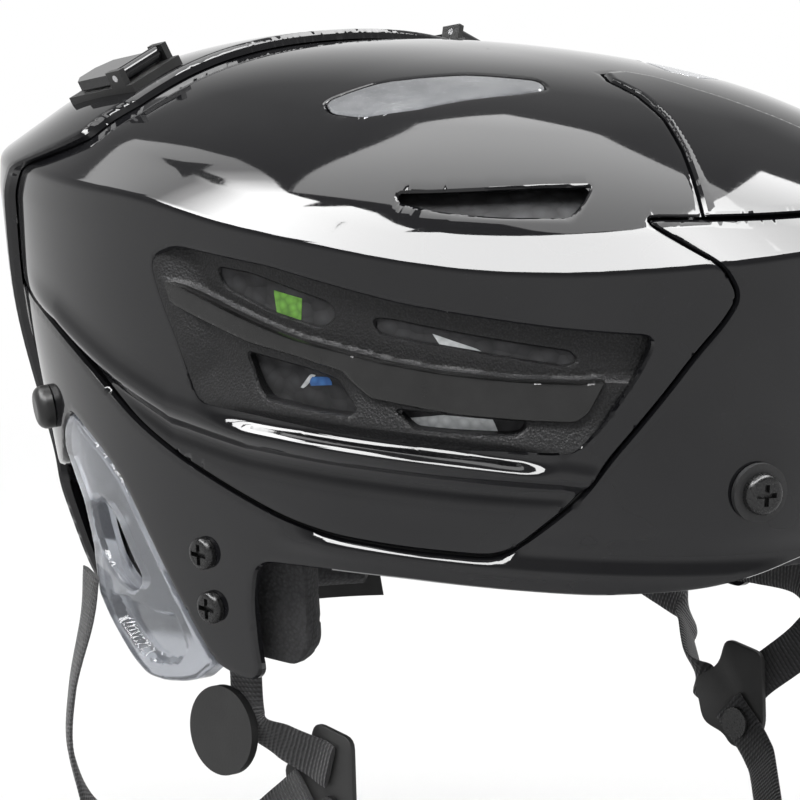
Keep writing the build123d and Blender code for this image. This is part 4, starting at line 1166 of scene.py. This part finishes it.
def strap(node, body, route, flip=1):
    """Flat webbing with rounded selvedges through a route of points and width directions."""
    points, across = (smooth_path([(flip * row[k][0], *row[k][1:]) for row in route]) for k in (0, 1))
    ways = unit(np.gradient(points, axis=0))
    across = unit(across - ways * (across * ways).sum(1)[:, None])
    up = np.cross(ways, across)
    run = np.concatenate([[0], np.cumsum(np.linalg.norm(np.diff(points, axis=0), axis=1))])
    half = STRAP_ACROSS * WEBBING / 2
    bulge = WEBBING_THICK / 2 * (1 - np.abs(STRAP_ACROSS) ** 6 * 0.8)
    section = [*zip(half, bulge), *zip(half[::-1], -bulge[::-1])]
    layers = [
        to_row(*np.array([at + wide * h + high * b for h, b in section]).T)
        for at, wide, high in zip(points, across, up)]
    coords = [(r * MM, (h + (WEBBING if b < 0 else 0)) * MM) for r in run for h, b in section]
    piece = layered(part_name(node, "weave"), layers)
    layer = piece.data.uv_layers.new(name="weave")
    for loop in piece.data.loops:
        layer.data[loop.index].uv = coords[loop.vertex_index]
    place(dress(piece, WEBBING_LOOK), body, node)


REAR_STRAP_RIGHT = (
    ((-94.9, 50.0, -7.0), (0.36, 0.93, 0.0)),
    ((-94.6, 51.5, -20.0), (0.45, 0.89, 0.0)),
    ((-98.0, 53.0, -40.0), (0.6, 0.8, 0.0)),
    ((-100.0, 50.0, -58.0), (0.6, 0.8, 0.1)),
    ((-98.0, 38.0, -74.0), (0.4, 0.7, 0.6)),
    ((-93.0, 12.0, -81.0), (0.1, 0.3, 0.95)),
    ((-87.0, -6.0, -70.0), (0.0, 0.6, 0.8)),
    ((-84.2, -17.0, -60.0), (0.0, 0.6, 0.8)),
    ((-84.2, -25.0, -53.0), (0.0, 0.6, 0.8)),
)
FRONT_STRAP_RIGHT = (
    ((-93.35, -7.0, -12.0), (0.0, 1.0, 0.0)),
    ((-92.3, -9.0, -22.0), (0.0, 1.0, 0.0)),
    ((-92.0, -12.0, -36.0), (0.0, 1.0, -0.1)),
    ((-87.6, -20.0, -41.0), (0.0, 0.8, -0.6)),
    ((-84.3, -28.0, -44.0), (0.0, 0.6, -0.8)),
    ((-84.3, -34.0, -45.5), (0.0, 0.45, -0.9)),
)
REAR_STRAP_LEFT = (
    ((96.2, 47.0, -12.0), (0.0, 0.6, 0.8)),
    ((99.3, 30.0, -24.0), (0.0, 0.4, 0.92)),
    ((100.8, 8.0, -33.0), (0.0, 0.4, 0.92)),
    ((94.0, 0.0, -39.0), (0.0, 0.5, 0.87)),
    ((85.8, -11.0, -46.5), (0.0, 0.6, 0.8)),
    ((84.5, -17.5, -51.0), (0.0, 0.5, 0.87)),
    ((84.5, -26.0, -55.5), (0.0, 0.5, 0.87)),
)
FRONT_STRAP_LEFT = (
    ((84.2, -33.0, -49.0), (0.0, 0.9, 0.44)),
    ((84.2, -38.0, -44.0), (0.0, 0.8, 0.6)),
    ((89.0, -50.0, -32.0), (0.0, 0.5, 0.86)),
    ((93.0, -53.0, -21.0), (0.5, 0.5, 0.6)),
    ((93.6, -42.0, -15.0), (0.0, 0.2, 0.98)),
    ((93.1, -26.0, -14.5), (0.0, 0.1, 0.99)),
    ((93.35, -14.0, -15.5), (0.0, 0.0, 1.0)),
    ((93.35, -6.0, -16.0), (0.0, 0.0, 1.0)),
)
CHIN_STRAP_RIGHT = (
    ((-22.0, -84.1, -106.1), (0.0, 0.707, -0.707)),
    ((-36.0, -84.1, -106.1), (0.0, 0.707, -0.707)),
    ((-50.0, -78.0, -99.5), (0.0, 0.707, -0.707)),
    ((-74.0, -50.0, -72.5), (0.0, 0.707, -0.707)),
    ((-79.8, -41.0, -64.5), (0.0, 0.707, -0.707)),
    ((-79.8, -29.5, -53.7), (0.0, 0.707, -0.707)),
)
for node, body, route, flip in (
    ("rear_strap_right", "front", REAR_STRAP_RIGHT, 1), ("front_strap_right", "front", FRONT_STRAP_RIGHT, 1),
    ("rear_strap_left", "front", REAR_STRAP_LEFT, 1), ("front_strap_left", "front", FRONT_STRAP_LEFT, 1),
    ("chin_strap_right", "chin_strap", CHIN_STRAP_RIGHT, 1),
    ("chin_strap_left", "chin_strap", CHIN_STRAP_RIGHT, -1),
):
    strap(node, body, route, flip)

YOKE_LINE = rounded(np.array((
    (-40.0, -37.0), (-26.0, -35.0), (-24.0, -43.0), (-15.0, -49.0), (-19.0, -61.0), (-27.0, -63.0),
    (-30.0, -66.0), (-38.0, -66.0), (-42.0, -58.0))), 3.0)
YOKE_X = 82.0
YOKE_THICK = 2.0


def shrunk(line, by):
    """An outline moved in by a distance."""
    way = np.roll(line, -1, axis=0) - np.roll(line, 1, axis=0)
    way /= np.linalg.norm(way, axis=1)[:, None] + 1e-9
    area = np.sum(line[:, 0] * np.roll(line[:, 1], -1) - np.roll(line[:, 0], -1) * line[:, 1])
    return line + np.stack([-way[:, 1], way[:, 0]], -1) * np.sign(area) * by


# Each side's yoke is a stack of outlines: a share of half its thickness, and how far it is moved in
YOKE_LAYERS = ((-1, 0.6), (-0.7, 0.1), (0, 0), (0.7, 0.1), (1, 0.6))
for side, sign in (("right", -1), ("left", 1)):
    layers = []
    for offset, by in YOKE_LAYERS:
        line = shrunk(YOKE_LINE, by)
        x = np.full(len(line), sign * YOKE_X + offset * YOKE_THICK / 2)
        layers.append(to_row(x, line[:, 0], line[:, 1]))
    place(dress(layered("yoke_patch_" + side, layers), YOKE_LOOK), "front", "yoke_" + side)

# Chin cup pad: a crowned foam sheet on the inside of the cup
CUP_AT = (0.0, -66.0, -88.0)
CUP_TURN = radians(-45.0)
CUP_OUT = 21.6
CUP_PAD = 3.9
CUP_RIM = 0.6
CUP_HALF = 33.6
CUP_DEEP = 18.6
CUP_CORNER = 12.0
CUP_DIMPLES = 9.0
CUP_EDGE = 5.0
cup_s, cup_t = np.meshgrid(np.linspace(-1, 1, 49), np.linspace(-1, 1, 37), indexing="ij")
side_x = cup_s * CUP_HALF
corner = np.clip(np.abs(side_x) - (CUP_HALF - CUP_CORNER), 0, CUP_CORNER) / CUP_CORNER
reach = CUP_DEEP - CUP_CORNER + CUP_CORNER * np.sqrt(np.clip(1 - corner**2, 0, 1))
cup_across = cup_t * reach
edge_in = np.minimum(CUP_HALF - np.abs(side_x), reach - np.abs(cup_across))
half = CUP_DIMPLES / 2
dimple_at = np.hypot((side_x + half) % CUP_DIMPLES - half, (cup_across + half) % CUP_DIMPLES - half)
dimples = 0.5 * (1 - step(0, 1.4, dimple_at)) * step(3, 5, edge_in)


def cup_layer(radius):
    """The cup's grid at a radius about its axis, turned to the chin."""
    along = cup_across * radius / CUP_OUT
    away = -np.sqrt(np.maximum(radius**2 - along**2, 0))
    y = CUP_AT[1] + along * np.cos(CUP_TURN) - away * np.sin(CUP_TURN)
    z = CUP_AT[2] + along * np.sin(CUP_TURN) + away * np.cos(CUP_TURN)
    return to_row(side_x, y, z).reshape(-1, 3)


outside = cup_layer(np.full_like(cup_s, CUP_OUT))
within = cup_layer(CUP_OUT - CUP_RIM - (CUP_PAD - CUP_RIM) * pillow(edge_in, CUP_EDGE) + dimples)
number = np.arange(cup_s.size).reshape(cup_s.shape)
cup_faces = []
quads = np.stack([number[:-1, :-1], number[:-1, 1:], number[1:, 1:], number[1:, :-1]], -1)
for quad in quads.reshape(-1, 4).tolist():
    cup_faces += [tuple(quad), tuple(k + number.size for k in reversed(quad))]
rim = [int(k) for k in (*number[:, 0], *number[-1, 1:], *number[-2::-1, -1], *number[0, -2:0:-1])]
cup_faces += [(b, a, a + number.size, b + number.size) for a, b in zip(rim, rim[1:] + rim[:1])]
cup_pad = new_piece("chin_cup_pad_foam", np.vstack([outside, within]).tolist(), cup_faces)
dress(cup_pad, PAD_FOAM)
place(cup_pad, "chin_strap", "chin_cup_pad")

# CAD nodes that keep their shape
NODE_LOOKS = {
    "lap_band": SATIN, "forehead_screws": BLACK_STEEL, "screw_washers": RUBBER, "forehead_nuts": BRIGHT_STEEL,
    "leg_screws": BLACK_STEEL, "leg_nuts": BRIGHT_STEEL, "anchor_buttons": SATIN,
    "latch_base_right": SATIN, "latch_base_left": SATIN, "latch_pins": BRIGHT_STEEL,
    "latch_lever_right": GLOSS, "latch_lever_left": GLOSS, "occipital_carrier": SATIN,
    "occipital_posts": SATIN, "yoke_rivets": BLACK_STEEL, "chin_cup": SATIN,
    "strap_slider_right": SATIN, "strap_slider_left": SATIN, "strap_disc": SATIN,
}
SOFT_EDGE = 0.00035
for node, node_look in NODE_LOOKS.items():
    bevel = dress(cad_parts[node], node_look).modifiers.new("soft_edges", "BEVEL")
    bevel.width = SOFT_EDGE
    bevel.segments = 2
    bevel.limit_method = "ANGLE"
    bevel.angle_limit = radians(35)

# Camera: its right, up and backward directions, place and lens
CAMERA_RIGHT = (0.7071, -0.7071, 0.0)
CAMERA_UP = (0.0984, 0.0984, 0.9903)
CAMERA_BACK = (-0.7002, -0.7002, 0.1392)
CAMERA_AT = (-0.9199, -0.8932, 0.2186)
CAMERA_LENS = 210.6
SENSOR = 36.0
camera_data = bpy.data.cameras.new("camera")
camera_data.lens = CAMERA_LENS
camera_data.sensor_width = SENSOR
camera_data.clip_end = 30.0
camera = linked("camera", camera_data)
turned = zip(CAMERA_RIGHT, CAMERA_UP, CAMERA_BACK, CAMERA_AT)
camera.matrix_world = Matrix([list(row) for row in turned] + [[0, 0, 0, 1]])
bpy.context.scene.camera = camera

# Floor, world and lights
FLOOR_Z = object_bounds()[0][2] - 0.001
FLOOR = 6.0
FLOOR_GREY = 0.68
# Distances over which the floor turns white, and heights over which the ceiling darkens
WHITE_FROM, WHITE_TO = 0.25, 1.1
CEILING_FROM, CEILING_TO = 0.1, 0.5
WORLD_LIGHT = 0.7
CEILING = 0.3


def seen_directly(tree):
    """1 for rays that show the background: camera, glossy and transmission rays."""
    path = add(tree, "LightPath").outputs
    first = add(tree, "Math", {0: path["Is Camera Ray"], 1: path["Is Glossy Ray"]}, "MAXIMUM")
    return add(tree, "Math", {0: first.outputs[0], 1: path["Is Transmission Ray"]}, "MAXIMUM").outputs[0]


corners = ((-FLOOR, -FLOOR), (FLOOR, -FLOOR), (FLOOR, FLOOR), (-FLOOR, FLOOR))
floor = new_piece("floor", [(x, y, FLOOR_Z) for x, y in corners], [(0, 1, 2, 3)], smooth=False)
floor_look, tree, shader = material("pale_floor")
shader.inputs["Base Color"].default_value = (FLOOR_GREY, FLOOR_GREY, FLOOR_GREY, 1)
shader.inputs["Roughness"].default_value = 0.8
# Away from the object the floor turns into plain white
away = add(tree, "VectorMath", {0: add(tree, "NewGeometry").outputs["Position"]}, "LENGTH").outputs["Value"]
fade = add(tree, "MapRange", {"Value": away, "From Min": WHITE_FROM, "From Max": WHITE_TO})
both = add(tree, "Math", {0: fade.outputs["Result"], 1: seen_directly(tree)}, "MULTIPLY")
blend = add(tree, "MixShader", {
    "Fac": both.outputs[0], 1: shader.outputs[0], 2: add(tree, "Emission").outputs[0]})
floor_out = next(node for node in tree.nodes if node.type == "OUTPUT_MATERIAL")
tree.links.new(blend.outputs[0], floor_out.inputs["Surface"])
dress(floor, floor_look)

# White round the horizon, darker above, as between a white backdrop and a dark ceiling
world = bpy.data.worlds.new("studio")
world.use_nodes = True
tree = world.node_tree
sky = tree.nodes["Background"]
sky.inputs["Color"].default_value = (1, 1, 1, 1)
split = add(tree, "SeparateXYZ", {"Vector": add(tree, "TexCoord").outputs["Generated"]})
ceiling = add(tree, "MapRange", {
    "Value": split.outputs["Z"], "From Min": CEILING_FROM, "From Max": CEILING_TO, "To Min": 1.0,
    "To Max": CEILING})
level = add(tree, "Mix", {"Factor": seen_directly(tree), "A": WORLD_LIGHT, "B": ceiling.outputs["Result"]})
tree.links.new(level.outputs["Result"], sky.inputs["Strength"])
bpy.context.scene.world = world
bpy.context.scene.view_settings.view_transform = "Standard"

# A strip light bent round in an arc, where the shoulder mirrors it to the camera: its distance, angles,
# place past the shoulder's foot, half width and how much wider it gets, and brightness
LIGHT_REACH = 1.9
LIGHT_ANGLES = np.arange(-30.0, 96.0, 4.0)
LIGHT_PAST = 6.0
LIGHT_HALF = 0.08
LIGHT_WIDER = 0.16
BRIGHT = 24.0


def shoulder_at(degrees, past):
    return to_row(*raw_point(np.array([radians(degrees)]), np.array([past]), np.zeros(1)))[0]


def mirrored_place(degrees):
    """The place from which light is mirrored to the camera by the shoulder at an angle."""
    foot = float(smooth_interp(SHOULDER_LOW, mirrored_angle(radians(degrees)))) - LOWEST
    across = shoulder_at(degrees + 4, foot + LIGHT_PAST) - shoulder_at(degrees - 4, foot + LIGHT_PAST)
    upward = shoulder_at(degrees, foot + 11) - shoulder_at(degrees, foot + 2)
    normal = np.cross(upward, across)
    here = shoulder_at(degrees, foot + LIGHT_PAST)
    normal *= np.sign(normal @ here) / np.linalg.norm(normal)
    sight = np.array(CAMERA_AT) - here
    sight /= np.linalg.norm(sight)
    return here, here + LIGHT_REACH * (2 * (normal @ sight) * normal - sight)


spots = [mirrored_place(degrees) for degrees in LIGHT_ANGLES]
strip_points, strip_levels = [], []
for i in range(1, len(spots) - 1):
    degrees = LIGHT_ANGLES[i]
    here, there = spots[i]
    out = np.cross(spots[i + 1][1] - spots[i - 1][1], here - there)
    out *= (LIGHT_HALF + LIGHT_WIDER * step(-2, 26, degrees)) / np.linalg.norm(out)
    out *= -np.sign(out @ np.array(CAMERA_AT))
    strip_points += [tuple(there - out), tuple(there + 1.3 * out)]
    strip_levels += [(0.1 + 0.9 * step(-6, 10, degrees)) * (1 - 0.6 * step(66, 84, degrees))] * 2
strip_faces = [(i, i + 1, i + 3, i + 2) for i in range(0, len(strip_points) - 2, 2)]
strip = new_piece("strip_light", strip_points, strip_faces, smooth=False)
strip.data.attributes.new("level", "FLOAT", "POINT").data.foreach_set("value", strip_levels)
strip_look = bpy.data.materials.new("strip_light")
strip_look.use_nodes = True
tree = strip_look.node_tree
tree.nodes.clear()
read = add(tree, "Attribute")
read.attribute_name = "level"
power = add(tree, "Math", {0: read.outputs["Fac"], 1: BRIGHT}, "MULTIPLY")
glow = add(tree, "Emission", {"Strength": power.outputs[0]})
add(tree, "OutputMaterial", {"Surface": glow.outputs[0]})
dress(strip, strip_look)
strip.visible_camera = False
strip.visible_diffuse = False

overhead_data = bpy.data.lights.new("overhead", "AREA")
overhead_data.size = 1.6
overhead_data.energy = 30.0
linked("overhead", overhead_data).matrix_world = Matrix.Translation((0.3, 0.3, 1.7))
